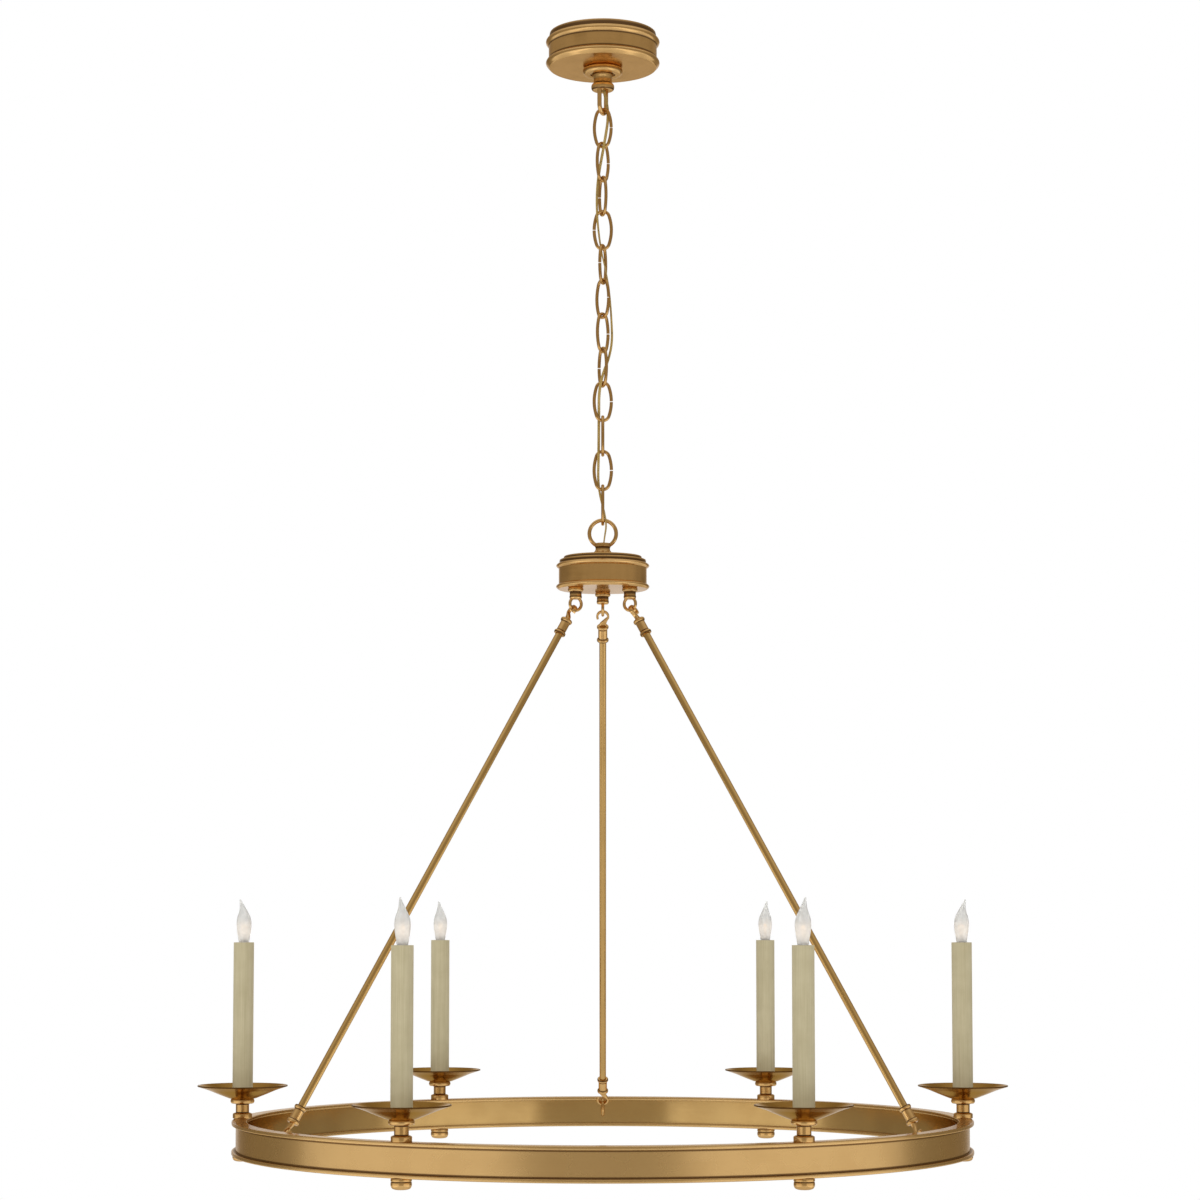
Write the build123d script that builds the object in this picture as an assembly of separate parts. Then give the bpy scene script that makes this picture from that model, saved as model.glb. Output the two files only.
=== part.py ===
from build123d import *
import math
import os

# Ring chandelier: a canopy, a chain with its lamp cord, a round hub, three rods and a ring
# that carries six candle lamps. Millimetres, +Z up. The origin is on the ceiling, at the
# middle of the mounting strap, so everything hangs below z = 0.

os.makedirs("parts", exist_ok=True)

# Gaps between pieces
loose_gap = 0.3
thread_gap = 0.05
hub_hook_play = 0.65
ring_hook_play = 1.05

# Ceiling strap and its fasteners
strap_length = 110.0
strap_width = 16.0
strap_thickness = 2.0
strap_edge_height = 4.0
slot_spacing = 88.9
slot_width = 4.6
slot_length = 12.0
nipple_diameter = 9.6
nipple_bore = 6.8
nipple_length = 44.0
locknut_flats = 14.0
strap_nut_flats = 11.2
locknut_height = 4.0
ground_screw_place = 24.0
ground_screw_diameter = 4.0
ground_screw_head = 8.0

# Canopy and the collar that holds it up
canopy_height = 39.5
canopy_wall = 1.2
canopy_rim_diameter = 121.0
canopy_bead_diameter = 129.6
canopy_waist_diameter = 123.0
canopy_foot_diameter = 125.0
canopy_bead_height = 9.0
canopy_rim_height = 5.5
collar_diameter = 45.0
collar_seat_diameter = 41.0
collar_height = 8.0

# Loop under the canopy
barrel_diameter = 27.6
barrel_top = 31.0
barrel_length = 15.5
loop_neck_diameter = 23.0
loop_neck_length = 11.5
loop_bead_diameter = 26.3
loop_bead_height = 8.0
bail_wire = 5.0
bail_width = 24.0
bail_drop = 28.5
bail_yaw = 67.0
wireway_diameter = 6.5

# Chain: the plane of each link is turned by its yaw, and the wire meets at a small split
link_length = 47.0
link_width = 23.2
link_wire = 3.7
link_end_radius = 7.4
link_split = 1.2
link_yaws = [-12, 50, 112, 178, 250, 313, 52, 115, 7, 90, 0, 90]

# Lamp cord, woven down through the chain: points chosen by hand
cord_diameter = 2.8
cord_points = [
    (0.0, 0.0, 0.0),
    (0.4, 0.2, -33.0),
    (0.0, 0.1, -63.0),
    (7.4, 3.8, -89.7),
    (1.9, -6.8, -128.6),
    (-6.0, 3.0, -168.0),
    (-7.2, -6.8, -207.2),
    (-2.6, 8.0, -246.6),
    (6.4, 1.0, -285.8),
    (9.8, 0.0, -325.2),
    (11.0, -1.4, -364.4),
    (-4.2, -8.2, -403.8),
    (-4.4, 7.0, -443.0),
    (-4.6, -7.5, -482.4),
    (-5.6, 7.6, -521.6),
    (4.9, -4.6, -560.8),
    (1.7, -8.3, -580.5),
    (0.0, -0.4, -596.5),
    (0.1, 0.3, -612.0),
]
cord_least_radius = 12.0
cord_bend_share = 0.45

# Hub: loop with its turned neck, stepped cap, plain band and base plate
hub_ring_diameter = 34.5
hub_ring_wire = 4.3
hub_ring_height = 26.15
hub_flare_diameter = 26.3
hub_flare_height = 6.9
hub_neck_diameter = 16.4
hub_neck_height = 3.5
hub_collar_diameter = 17.9
hub_collar_height = 5.0
hub_collar_round = 1.3
hub_wall = 1.5
cap_step_diameters = [88.0, 97.5, 105.0]
cap_step_heights = [3.7, 4.0, 5.5]
band_diameter = 99.0
band_height = 17.9
base_diameter = 105.0
base_height = 5.9
hub_nipple_entry = 5.5
wire_nut_diameter = 10.0
wire_nut_height = 15.0
wire_nut_circle = 24.0

# Turned eyes under the hub
hub_eye_circle = 35.0
finial_bead_diameter = 17.4
finial_bead_height = 4.5
finial_body_diameter = 13.4
finial_body_height = 8.7
finial_stud_diameter = 5.0
eye_diameter = 18.0
eye_wire = 3.5
hub_eye_drop = 5.0

# Rods with their end fittings and hooks
rod_back_azimuth = 90.0
rod_azimuths = {"left": rod_back_azimuth + 120, "right": rod_back_azimuth + 240, "back": rod_back_azimuth}
rod_diameter = 8.0
rod_wall = 1.0
fitting_flange_diameter = 13.4
fitting_flange_height = 4.0
fitting_flange_round = 1.2
fitting_body_diameter = 10.5
fitting_length = 20.0
fitting_socket_depth = 16.0
hook_outer_radius = 7.5
hook_section = 2.6
hook_width = 4.3
hook_reach = 11.3
hook_root_near = 5.0
hook_root_far = 4.5

# Ring: rolled channel with two rims, closed by a plain band inside; it follows the candles' circle
candle_circle = 400.0
ring_width = 16.6
ring_offset = 0.6
ring_height = 36.0
ring_rim_height = 4.0
ring_band_inset = 4.6
ring_band_wall = 1.2
ring_inner_band_inset = 2.9
ring_top_depth = 1227.0
ring_nose_radius = 1.4
ring_eye_drop = 10.5
ring_eye_stretch = 4.0
eye_shank_diameter = 3.5
harness_wire = 2.2

# Candle lamps
candle_count = 6
foot_diameter = 21.3
foot_height = 6.0
waist_diameter = 14.7
waist_height = 10.1
seat_diameter = 26.4
seat_height = 5.8
stem_diameter = 6.0
stem_bore = 3.6
cap_nut_diameter = 21.3
cap_nut_height = 11.4
cap_nut_flange_height = 3.5
cap_nut_groove = 0.7
cap_nut_round = 3.2
cap_nut_thread = 6.5
bobeche_diameter = 100.0
bobeche_depth = 14.8
bobeche_floor_diameter = 29.0
bobeche_wall = 1.0
bobeche_lip_radius = 1.1
sleeve_diameter = 22.5
sleeve_wall = 1.0
sleeve_height = 171.6
socket_diameter = 18.4
socket_height = 34.0
socket_recess = 2.0
socket_tang_height = 9.0

# Bulb with a candelabra screw base and a bent tip
bulb_base_diameter = 11.9
bulb_base_height = 17.0
bulb_contact_diameter = 5.0
bulb_contact_height = 2.0
bulb_visible_height = 47.8
bulb_neck_diameter = 12.2
bulb_belly_diameter = 16.6
bulb_belly_height = 20.0
bulb_shoulder_diameter = 10.6
bulb_shoulder_height = 33.0
bulb_tip_diameter = 1.6
bulb_tip_reach = 4.5
bulb_rise = 1.5

# Levels worked out from the sizes above, from the ceiling down
canopy_foot_z = -canopy_height
collar_foot_z = canopy_foot_z - collar_height
barrel_foot_z = -barrel_top - barrel_length
neck_foot_z = barrel_foot_z - loop_neck_length
bead_foot_z = neck_foot_z - loop_bead_height
bail_wire_z = bead_foot_z - bail_drop + bail_wire / 2
link_span = link_length - link_wire
link_half_span = link_span / 2
link_half_width = (link_width - link_wire) / 2


def link_top_z(number):
    """Height of the top wire's centre of a link, counted from 1 at the top."""
    first = bail_wire_z + (bail_wire + link_wire) / 2 + loose_gap
    return first - (number - 1) * (link_span - link_wire - loose_gap)


def link_foot_z(number):
    """Height of the bottom wire's centre of a link."""
    return link_top_z(number) - link_span


def link_side_radius():
    """Radius of a link's long sides, so that they run smoothly into its two round ends."""
    reach = link_half_width ** 2 + link_half_span ** 2 - 2 * link_half_span * link_end_radius
    return reach / (2 * (link_half_width - link_end_radius))


hub_ring_radius = (hub_ring_diameter - hub_ring_wire) / 2
hub_ring_top_z = link_foot_z(len(link_yaws)) + (link_wire + hub_ring_wire) / 2 + loose_gap
hub_ring_z = hub_ring_top_z - hub_ring_radius
cap_top_z = hub_ring_z - hub_ring_height
cap_foot_z = cap_top_z - sum(cap_step_heights)
base_top_z = cap_foot_z - band_height
base_foot_z = base_top_z - base_height
finial_foot_z = base_foot_z - finial_bead_height - finial_body_height
eye_radius = (eye_diameter - eye_wire) / 2
hub_eye_z = finial_foot_z - hub_eye_drop
ring_top_z = -ring_top_depth
ring_foot_z = ring_top_z - ring_height
ring_outer_radius = candle_circle + ring_offset + ring_width / 2
ring_inner_radius = ring_outer_radius - ring_width
ring_band_radius = ring_outer_radius - ring_band_inset
ring_inner_band_radius = ring_inner_radius + ring_inner_band_inset
ring_eye_radius = ring_inner_band_radius - eye_diameter / 2 - thread_gap
ring_eye_z = ring_top_z - ring_eye_drop
seat_top_z = ring_top_z + foot_height + waist_height + seat_height
sleeve_foot_z = seat_top_z + bobeche_wall
sleeve_top_z = sleeve_foot_z + sleeve_height
socket_top_z = sleeve_top_z - socket_recess
bulb_foot_z = socket_top_z - bulb_base_height + bulb_rise

# The rod pulls both eyes along the line between their centres
rod_run = ring_eye_radius - hub_eye_circle
rod_drop = hub_eye_z - ring_eye_z
rod_lean = math.degrees(math.atan2(rod_run, rod_drop))
rod_out = math.sin(math.radians(rod_lean))
rod_down = math.cos(math.radians(rod_lean))
hub_pivot = (hub_eye_circle + eye_radius * rod_out, hub_eye_z - eye_radius * rod_down)
ring_pivot = (ring_eye_radius - eye_radius * rod_out, ring_eye_z + eye_radius * rod_down)
rod_span = math.dist(hub_pivot, ring_pivot)
hook_inner_radius = hook_outer_radius - hook_section


def polar(radius, angle):
    """Point of a circle about the origin, in the plane of a profile."""
    return (radius * math.cos(math.radians(angle)), radius * math.sin(math.radians(angle)))


def turned(points):
    """Solid of revolution about Z from a closed outline of (radius, height) points."""
    outline = Polyline(*[(r, 0, z) for r, z in points], close=True)
    return revolve(make_face(outline), Axis.Z)


def disc(diameter, low, high):
    """Upright cylinder between two heights."""
    return Pos(0, 0, low) * Cylinder(diameter / 2, high - low, align=(Align.CENTER, Align.CENTER, Align.MIN))


def tube(outer, bore, low, high):
    """Upright tube between two heights."""
    return disc(outer, low, high) - disc(bore, low - 1, high + 1)


def hex_nut(flats, bore, low, height):
    """Hexagon nut standing on a height."""
    blank = extrude(RegularPolygon(flats / 2, 6, major_radius=False), height)
    return Pos(0, 0, low) * (blank - disc(bore, -1, height + 1))


def around(solid, count, radius, start=0.0):
    """Copies of a solid on a circle, each turned to face outwards."""
    step = 360 / count
    return [Rot(0, 0, start + number * step) * Pos(radius, 0, 0) * solid for number in range(count)]


def save(name, *solids):
    """One file for a node; a group of identical pieces stays separate solids."""
    group = [piece for solid in solids for piece in solid.solids()]
    export_step(group[0] if len(group) == 1 else Compound(children=group), f"parts/{name}.step")


def mounting_strap():
    """Steel crossbar: bent edges, a tapped middle and two long slots for the box screws."""
    half_edge = strap_width / 2
    bar = extrude(RectangleRounded(strap_length, strap_width, strap_width / 2 - 1), -strap_thickness)
    edge_length = slot_spacing - 2 * slot_length
    edge_block = Box(edge_length, strap_thickness, strap_edge_height, align=(Align.CENTER, Align.CENTER, Align.MAX))
    for side in (-1, 1):
        bar += Pos(0, side * (half_edge - strap_thickness / 2), 0) * edge_block
    slot = extrude(SlotOverall(slot_length, slot_width), -3 * strap_thickness, both=True)
    for side in (-1, 1):
        bar -= Pos(side * slot_spacing / 2, 0, 0) * slot
    bar -= disc(nipple_diameter + 2 * thread_gap, -3 * strap_thickness, 1)
    bar -= Pos(ground_screw_place, 0, 0) * disc(ground_screw_diameter + 2 * thread_gap, -3 * strap_thickness, 1)
    return bar


def ground_screw():
    """Round-headed earth screw under the strap."""
    shank = disc(ground_screw_diameter, -strap_thickness - ground_screw_head / 3, 0)
    ball = Pos(0, 0, -strap_thickness) * Sphere(ground_screw_head / 2)
    head = ball - disc(2 * ground_screw_head, -strap_thickness, ground_screw_head)
    return Pos(ground_screw_place, 0, 0) * (shank + head)


def canopy_outline(inset):
    """Half section of the canopy's skin, or of its hollow when inset by the wall."""
    rim = canopy_rim_diameter / 2 - inset
    waist = canopy_waist_diameter / 2 - inset
    bead = canopy_bead_diameter / 2 - inset
    foot = canopy_foot_diameter / 2 - inset
    floor = canopy_foot_z + inset
    upper = -canopy_rim_height - canopy_bead_height / 2
    lower = canopy_foot_z + canopy_bead_height * 0.6
    with BuildLine(Plane.XZ) as line:
        Line((0, 0), (rim, 0))
        Line((rim, 0), (rim + 1, -canopy_rim_height))
        ThreePointArc((rim + 1, -canopy_rim_height), (bead, upper), (waist, upper - canopy_bead_height / 2))
        Line((waist, upper - canopy_bead_height / 2), (waist, lower + canopy_bead_height / 2))
        ThreePointArc((waist, lower + canopy_bead_height / 2), (bead, lower), (foot, floor))
        Line((foot, floor), (0, floor))
        Line((0, floor), (0, 0))
    return make_face(line.line)


def canopy():
    """Spun canopy: a thin shell with two beads and a round hole for the loop's barrel."""
    shell = revolve(canopy_outline(0), Axis.Z) - revolve(canopy_outline(canopy_wall), Axis.Z)
    return shell - disc(barrel_diameter + 2 * loose_gap, canopy_foot_z - 1, 0)


def canopy_collar():
    """Ring nut that runs up the barrel and holds the canopy against the ceiling."""
    bore = barrel_diameter / 2 + loose_gap
    seat = collar_seat_diameter / 2
    edge = collar_diameter / 2
    round_off = collar_height / 4
    ring = turned([
        (bore, canopy_foot_z), (seat, canopy_foot_z), (edge, canopy_foot_z - round_off),
        (edge, collar_foot_z + round_off), (edge - round_off, collar_foot_z), (bore, collar_foot_z)])
    return ring


def canopy_loop():
    """Threaded barrel, turned neck and bead, and the bail that takes the first link."""
    body = disc(barrel_diameter, barrel_foot_z, -barrel_top)
    body += disc(loop_neck_diameter, neck_foot_z, barrel_foot_z)
    bead = disc(loop_bead_diameter, bead_foot_z, neck_foot_z)
    body += fillet(bead.edges().filter_by(GeomType.CIRCLE), loop_bead_height * 0.3)
    arm = (bail_width - bail_wire) / 2
    bend_z = bail_wire_z + arm
    sink = bead_foot_z + bail_wire / 2
    with BuildLine(Plane.XZ) as path:
        Line((arm, sink), (arm, bend_z))
        ThreePointArc((arm, bend_z), (0, bail_wire_z), (-arm, bend_z))
        Line((-arm, bend_z), (-arm, sink))
    start = Plane(origin=(arm, 0, sink), z_dir=(0, 0, -1))
    bail = sweep(start * Circle(bail_wire / 2), path.line)
    body += Rot(0, 0, bail_yaw) * bail
    body -= disc(nipple_diameter + 2 * thread_gap, -nipple_length, 0)
    return body - disc(wireway_diameter, bead_foot_z - 1, -barrel_top)


def chain_link(number):
    """One oval link: wire bent round to its own start in tangent arcs, with its split half way up."""
    side_radius = link_side_radius()
    end_centre = link_half_span - link_end_radius
    side_centre = side_radius - link_half_width
    end_turn = math.degrees(math.atan2(end_centre, side_centre))
    split_turn = math.degrees(link_split / 2 / side_radius)
    wire_path = [
        CenterArc((-side_centre, 0), side_radius, split_turn, end_turn - split_turn),
        CenterArc((0, end_centre), link_end_radius, end_turn, 180 - 2 * end_turn),
        CenterArc((side_centre, 0), side_radius, 180 - end_turn, 2 * end_turn),
        CenterArc((0, -end_centre), link_end_radius, 180 + end_turn, 180 - 2 * end_turn),
        CenterArc((-side_centre, 0), side_radius, -end_turn, end_turn - split_turn)]
    path = Plane.XZ * Wire(wire_path)
    link = sweep(Plane(origin=path @ 0, z_dir=path % 0) * Circle(link_wire / 2), path)
    middle = link_top_z(number) - link_half_span
    return Pos(0, 0, middle) * Rot(0, 0, link_yaws[number - 1]) * link


def cord_radii():
    """Bend radius at each corner of the route: a share of the shorter run beside it."""
    points = [Vector(*point) for point in cord_points]
    radii = []
    for before, corner, after in zip(points, points[1:], points[2:]):
        run = min((corner - before).length, (after - corner).length)
        turn = math.radians((corner - before).get_angle(after - corner))
        radii.append(cord_bend_share * run / math.tan(turn / 2))
    radii[-2] = cord_least_radius
    radii[-3] = min(radii[-3], 2 * cord_least_radius)
    return radii


def lamp_cord():
    """Twin lead from the ceiling to the hub, in one piece along its woven route."""
    radii = cord_radii()
    path = FilletPolyline(*cord_points, radius=radii)
    start = Plane(origin=path @ 0, z_dir=path % 0)
    cord = sweep(start * Circle(cord_diameter / 2), path)
    section = math.pi * cord_diameter ** 2 / 4
    print("cord length", round(path.length, 1), "volume ratio", round(cord.volume / (section * path.length), 4))
    print("cord radii", [round(radius, 1) for radius in radii])
    return cord


def hub_loop():
    """Round ring on a turned neck, drilled for the cord and tapped for the nipple."""
    flare_top = cap_top_z + hub_flare_height
    neck_top = flare_top + hub_neck_height
    collar_top = neck_top + hub_collar_height
    neck = hub_neck_diameter / 2
    flare = hub_flare_diameter / 2
    with BuildLine(Plane.XZ) as line:
        Line((0, cap_top_z), (flare, cap_top_z))
        Line((flare, cap_top_z), (flare, cap_top_z + hub_flare_height / 3))
        ThreePointArc((flare, cap_top_z + hub_flare_height / 3),
                      (neck + 1.2, flare_top - hub_flare_height / 4), (neck, flare_top + 2))
        Line((neck, flare_top + 2), (neck, neck_top))
        Line((neck, neck_top), (0, neck_top))
        Line((0, neck_top), (0, cap_top_z))
    body = revolve(make_face(line.line), Axis.Z)
    collar = disc(hub_collar_diameter, neck_top, collar_top)
    body += fillet(collar.edges().filter_by(GeomType.CIRCLE), hub_collar_round)
    ring = Pos(0, 0, hub_ring_z) * Rot(90, 0, 0) * Torus(hub_ring_radius, hub_ring_wire / 2)
    body += ring
    entry = Vector(*cord_points[-3])
    inside = Vector(*cord_points[-2])
    drill = Plane(origin=entry, z_dir=inside - entry)
    body -= drill * Cylinder(cord_diameter / 2 + 0.7, 2 * (inside - entry).length)
    return body - disc(nipple_diameter + 2 * thread_gap, cap_top_z - 1, cap_top_z + hub_nipple_entry)


def hub_top_cap():
    """Stepped cap, hollow underneath, with a rolled bead at its foot."""
    radii = [diameter / 2 for diameter in cap_step_diameters]
    first, second = cap_top_z - cap_step_heights[0], cap_top_z - cap_step_heights[0] - cap_step_heights[1]
    bead_middle = (second + cap_foot_z) / 2
    bead_land = radii[2] - (second - cap_foot_z) / 2
    hollow = radii[0] - hub_wall
    seat = band_diameter / 2 - hub_wall
    with BuildLine(Plane.XZ) as line:
        Line((0, cap_top_z), (radii[0], cap_top_z))
        Line((radii[0], cap_top_z), (radii[0], first))
        Line((radii[0], first), (radii[1], first))
        Line((radii[1], first), (radii[1], second))
        Line((radii[1], second), (bead_land, second))
        ThreePointArc((bead_land, second), (radii[2], bead_middle), (bead_land, cap_foot_z))
        Line((bead_land, cap_foot_z), (seat, cap_foot_z))
        Line((seat, cap_foot_z), (hollow, first - hub_wall))
        Line((hollow, first - hub_wall), (hollow, cap_top_z - hub_wall))
        Line((hollow, cap_top_z - hub_wall), (0, cap_top_z - hub_wall))
        Line((0, cap_top_z - hub_wall), (0, cap_top_z))
    cap = revolve(make_face(line.line), Axis.Z)
    return cap - disc(nipple_diameter + 2 * thread_gap, cap_foot_z, cap_top_z + 1)


def hub_band():
    """Plain band between the cap and the base plate."""
    return tube(band_diameter, band_diameter - 2 * hub_wall, base_top_z, cap_foot_z)


def hub_base_plate():
    """Flat plate with a rounded rim, tapped for the nipple and the three eyes."""
    rim = base_diameter / 2
    land = rim - base_height / 2
    with BuildLine(Plane.XZ) as line:
        Line((0, base_top_z), (land, base_top_z))
        ThreePointArc((land, base_top_z), (rim, base_top_z - base_height / 2), (land, base_foot_z))
        Line((land, base_foot_z), (0, base_foot_z))
        Line((0, base_foot_z), (0, base_top_z))
    plate = revolve(make_face(line.line), Axis.Z)
    plate -= disc(nipple_diameter + 2 * thread_gap, base_foot_z + hub_wall, base_top_z + 1)
    for azimuth in rod_azimuths.values():
        tapped = Pos(hub_eye_circle, 0, 0) * disc(finial_stud_diameter + 2 * thread_gap, base_foot_z - 1, base_top_z - 1)
        plate -= Rot(0, 0, azimuth) * tapped
    return plate


def hub_nipple():
    """Threaded tube that ties the loop, the cap and the base plate together."""
    return tube(nipple_diameter, nipple_bore, base_foot_z + hub_wall, cap_top_z + hub_nipple_entry)


def hub_locknuts():
    """Nuts on the hub's nipple: one under the cap and one on the base plate."""
    bore = nipple_diameter + 2 * thread_gap
    upper = hex_nut(locknut_flats, bore, cap_top_z - hub_wall - locknut_height, locknut_height)
    return [upper, hex_nut(locknut_flats, bore, base_top_z, locknut_height)]


def wire_nuts():
    """Screw-on connectors that join the cord to the lamp leads inside the hub."""
    foot = wire_nut_diameter / 2
    cone = turned([
        (0, base_top_z), (foot, base_top_z), (foot * 0.6, base_top_z + wire_nut_height),
        (0, base_top_z + wire_nut_height)])
    return around(cone, 3, wire_nut_circle, start=rod_back_azimuth - 60)


def hub_eye():
    """Turned finial with its stud and an eye that stands in the upright plane of its rod."""
    body = disc(finial_bead_diameter, base_foot_z - finial_bead_height, base_foot_z)
    body = fillet(body.edges().filter_by(GeomType.CIRCLE), finial_bead_height * 0.35)
    body += disc(finial_body_diameter, finial_foot_z, base_foot_z - finial_bead_height)
    body += disc(finial_stud_diameter, base_foot_z, base_top_z - 1.2)
    return body + Pos(0, 0, hub_eye_z) * Rot(90, 0, 0) * Torus(eye_radius, eye_wire / 2)


def hook_profile(play):
    """Flat hook about its eye's wire: an open curl on a tapered root; the rod is below."""
    centre = -(hook_inner_radius - eye_wire / 2 - play)
    root = centre - hook_reach
    middle_radius = (hook_outer_radius + hook_inner_radius) / 2
    tip_angle = 200
    lean_angle = -8

    def curl(radius, angle):
        across, along = polar(radius, angle)
        return (across, along + centre)

    with BuildLine(Plane.XZ) as line:
        Line((-hook_root_far, root), (hook_root_near, root))
        Line((hook_root_near, root), curl(hook_outer_radius, lean_angle))
        ThreePointArc(curl(hook_outer_radius, lean_angle), curl(hook_outer_radius, 96),
                      curl(hook_outer_radius, tip_angle))
        ThreePointArc(curl(hook_outer_radius, tip_angle), curl(middle_radius, tip_angle + 12),
                      curl(hook_inner_radius, tip_angle))
        ThreePointArc(curl(hook_inner_radius, tip_angle), curl(hook_inner_radius, 96),
                      curl(hook_inner_radius, lean_angle - 16))
        Line(curl(hook_inner_radius, lean_angle - 16), (-hook_root_far, root))
    return make_face(line.line), root


def rod_hook(play):
    """Hook and its socketed fitting in one piece, with the eye's wire at the origin."""
    outline, root = hook_profile(play)
    hook = extrude(outline, hook_width / 2, both=True)
    fitting = disc(fitting_body_diameter, root - fitting_length, root)
    for flange_foot in (root - fitting_flange_height, root - fitting_length):
        flange = disc(fitting_flange_diameter, flange_foot, flange_foot + fitting_flange_height)
        fitting += fillet(flange.edges().filter_by(GeomType.CIRCLE), fitting_flange_round)
    fitting -= disc(rod_diameter + 2 * thread_gap, root - fitting_length - 1,
                    root - fitting_length + fitting_socket_depth)
    return hook + fitting, root - fitting_length + fitting_socket_depth


def rod_frames(azimuth):
    """Frames at the hub's pivot and at the ring's pivot, each with Z along the rod and away from it."""
    c, s = math.cos(math.radians(azimuth)), math.sin(math.radians(azimuth))
    along = Vector(rod_out * c, rod_out * s, -rod_down)
    tangent = Vector(-s, c, 0)
    high = Vector(hub_pivot[0] * c, hub_pivot[0] * s, hub_pivot[1])
    low = Vector(ring_pivot[0] * c, ring_pivot[0] * s, ring_pivot[1])
    return Plane(high, x_dir=-tangent, z_dir=-along), Plane(low, x_dir=-tangent, z_dir=along)


def rod_pieces(azimuth):
    """A rod's tube and its two hooks, in place."""
    upper, lower = rod_frames(azimuth)
    top_hook, top_end = rod_hook(hub_hook_play)
    low_hook, low_end = rod_hook(ring_hook_play)
    length = rod_span + top_end + low_end
    pipe = Cylinder(rod_diameter / 2, length, align=(Align.CENTER, Align.CENTER, Align.MAX))
    pipe -= Cylinder(rod_diameter / 2 - rod_wall, length, align=(Align.CENTER, Align.CENTER, Align.MAX))
    return upper * Pos(0, 0, top_end) * pipe, [upper * top_hook, lower * low_hook]


def ring_channel():
    """Rolled channel: outer band with a rounded rim above and below, drilled for the stems."""
    width = ring_outer_radius - ring_inner_radius
    middle = (ring_outer_radius + ring_inner_radius) / 2
    rim = RectangleRounded(width, ring_rim_height, ring_nose_radius)
    band_middle = ring_band_radius - ring_band_wall / 2
    web = Rectangle(ring_band_wall, ring_height - ring_rim_height)
    half = (ring_height - ring_rim_height) / 2
    centre_z = (ring_top_z + ring_foot_z) / 2
    section = Pos(middle, half) * rim + Pos(middle, -half) * rim + Pos(band_middle, 0) * web
    channel = revolve(Plane.XZ * Pos(0, centre_z) * section, Axis.Z)
    drill = disc(stem_diameter + 2 * thread_gap, ring_foot_z - 1, ring_top_z + 1)
    for hole in around(drill, candle_count, candle_circle):
        channel -= hole
    return channel


def ring_inner_band():
    """Plain band that closes the channel on the inside, drilled for the three eyes."""
    low, high = ring_foot_z + ring_rim_height, ring_top_z - ring_rim_height
    band = tube(2 * (ring_inner_band_radius + ring_band_wall), 2 * ring_inner_band_radius, low, high)
    shank_z = ring_eye_z - ring_eye_stretch / 2
    drill = Rot(0, 90, 0) * Cylinder(eye_shank_diameter / 2 + thread_gap, 6)
    for azimuth in rod_azimuths.values():
        band -= Rot(0, 0, azimuth) * Pos(ring_inner_band_radius, 0, shank_z) * drill
    return band


def ring_eye():
    """Long eye in the upright plane of its rod, with a shank that is peened in the channel."""
    low_z = ring_eye_z - ring_eye_stretch
    with BuildLine(Plane.XZ) as path:
        Line((eye_radius, low_z), (eye_radius, ring_eye_z))
        ThreePointArc((eye_radius, ring_eye_z), (0, ring_eye_z + eye_radius), (-eye_radius, ring_eye_z))
        Line((-eye_radius, ring_eye_z), (-eye_radius, low_z))
        ThreePointArc((-eye_radius, low_z), (0, low_z - eye_radius), (eye_radius, low_z))
    start = Plane(origin=(eye_radius, 0, low_z), z_dir=(0, 0, 1))
    eye = sweep(start * Circle(eye_wire / 2), path.line)
    shank_length = eye_wire / 2 + thread_gap + ring_band_wall + 1
    shank = Rot(0, 90, 0) * Cylinder(eye_shank_diameter / 2, shank_length, align=(Align.CENTER, Align.CENTER, Align.MIN))
    return eye + Pos(eye_radius, 0, ring_eye_z - ring_eye_stretch / 2) * shank


def harness_lead():
    """Lead bent along the channel from one stem's side hole to the next."""
    step = 360 / candle_count
    edge = math.degrees(0.9 * stem_diameter / 2 / candle_circle)
    section = Plane.XZ * Pos(candle_circle, (ring_top_z + ring_foot_z) / 2) * Circle(harness_wire / 2)
    return Rot(0, 0, edge) * revolve(section, Axis.Z, revolution_arc=step - 2 * edge)


def candle_column():
    """Turned foot, waist and seat under a bobeche."""
    foot = foot_diameter / 2
    waist = waist_diameter / 2
    seat = seat_diameter / 2
    bore = stem_diameter / 2 + thread_gap
    foot_top = ring_top_z + foot_height
    waist_top = foot_top + waist_height
    return turned([
        (bore, ring_top_z), (foot, ring_top_z), (foot, foot_top - 1), (foot - 1, foot_top), (waist, foot_top),
        (waist, waist_top), (seat - 1.2, waist_top), (seat, waist_top + 1.2), (seat, seat_top_z - 1.2),
        (seat - 1.2, seat_top_z), (bore, seat_top_z)])


def candle_stem():
    """Threaded tube from the cap nut up to the socket, with side holes for the ring's leads."""
    stem = tube(stem_diameter, stem_bore, ring_foot_z - cap_nut_thread, socket_top_z - socket_height)
    side_hole = Rot(90, 0, 0) * Cylinder(harness_wire / 2 + loose_gap, 2 * stem_diameter)
    return stem - Pos(0, 0, (ring_top_z + ring_foot_z) / 2) * side_hole


def cap_nut():
    """Blind nut under the ring: a flange, a turned groove and a rounded lower edge."""
    radius = cap_nut_diameter / 2
    foot = ring_foot_z - cap_nut_height
    groove_z = ring_foot_z - cap_nut_flange_height
    blank = disc(cap_nut_diameter, foot, ring_foot_z)
    blank = fillet(blank.edges().filter_by(GeomType.CIRCLE).sort_by(Axis.Z)[0], cap_nut_round)
    blank -= turned([
        (radius + 1, groove_z + cap_nut_groove + 1), (radius - cap_nut_groove, groove_z),
        (radius + 1, groove_z - cap_nut_groove - 1)])
    return blank - disc(stem_diameter + 2 * thread_gap, ring_foot_z - cap_nut_thread, ring_foot_z + 1)


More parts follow.
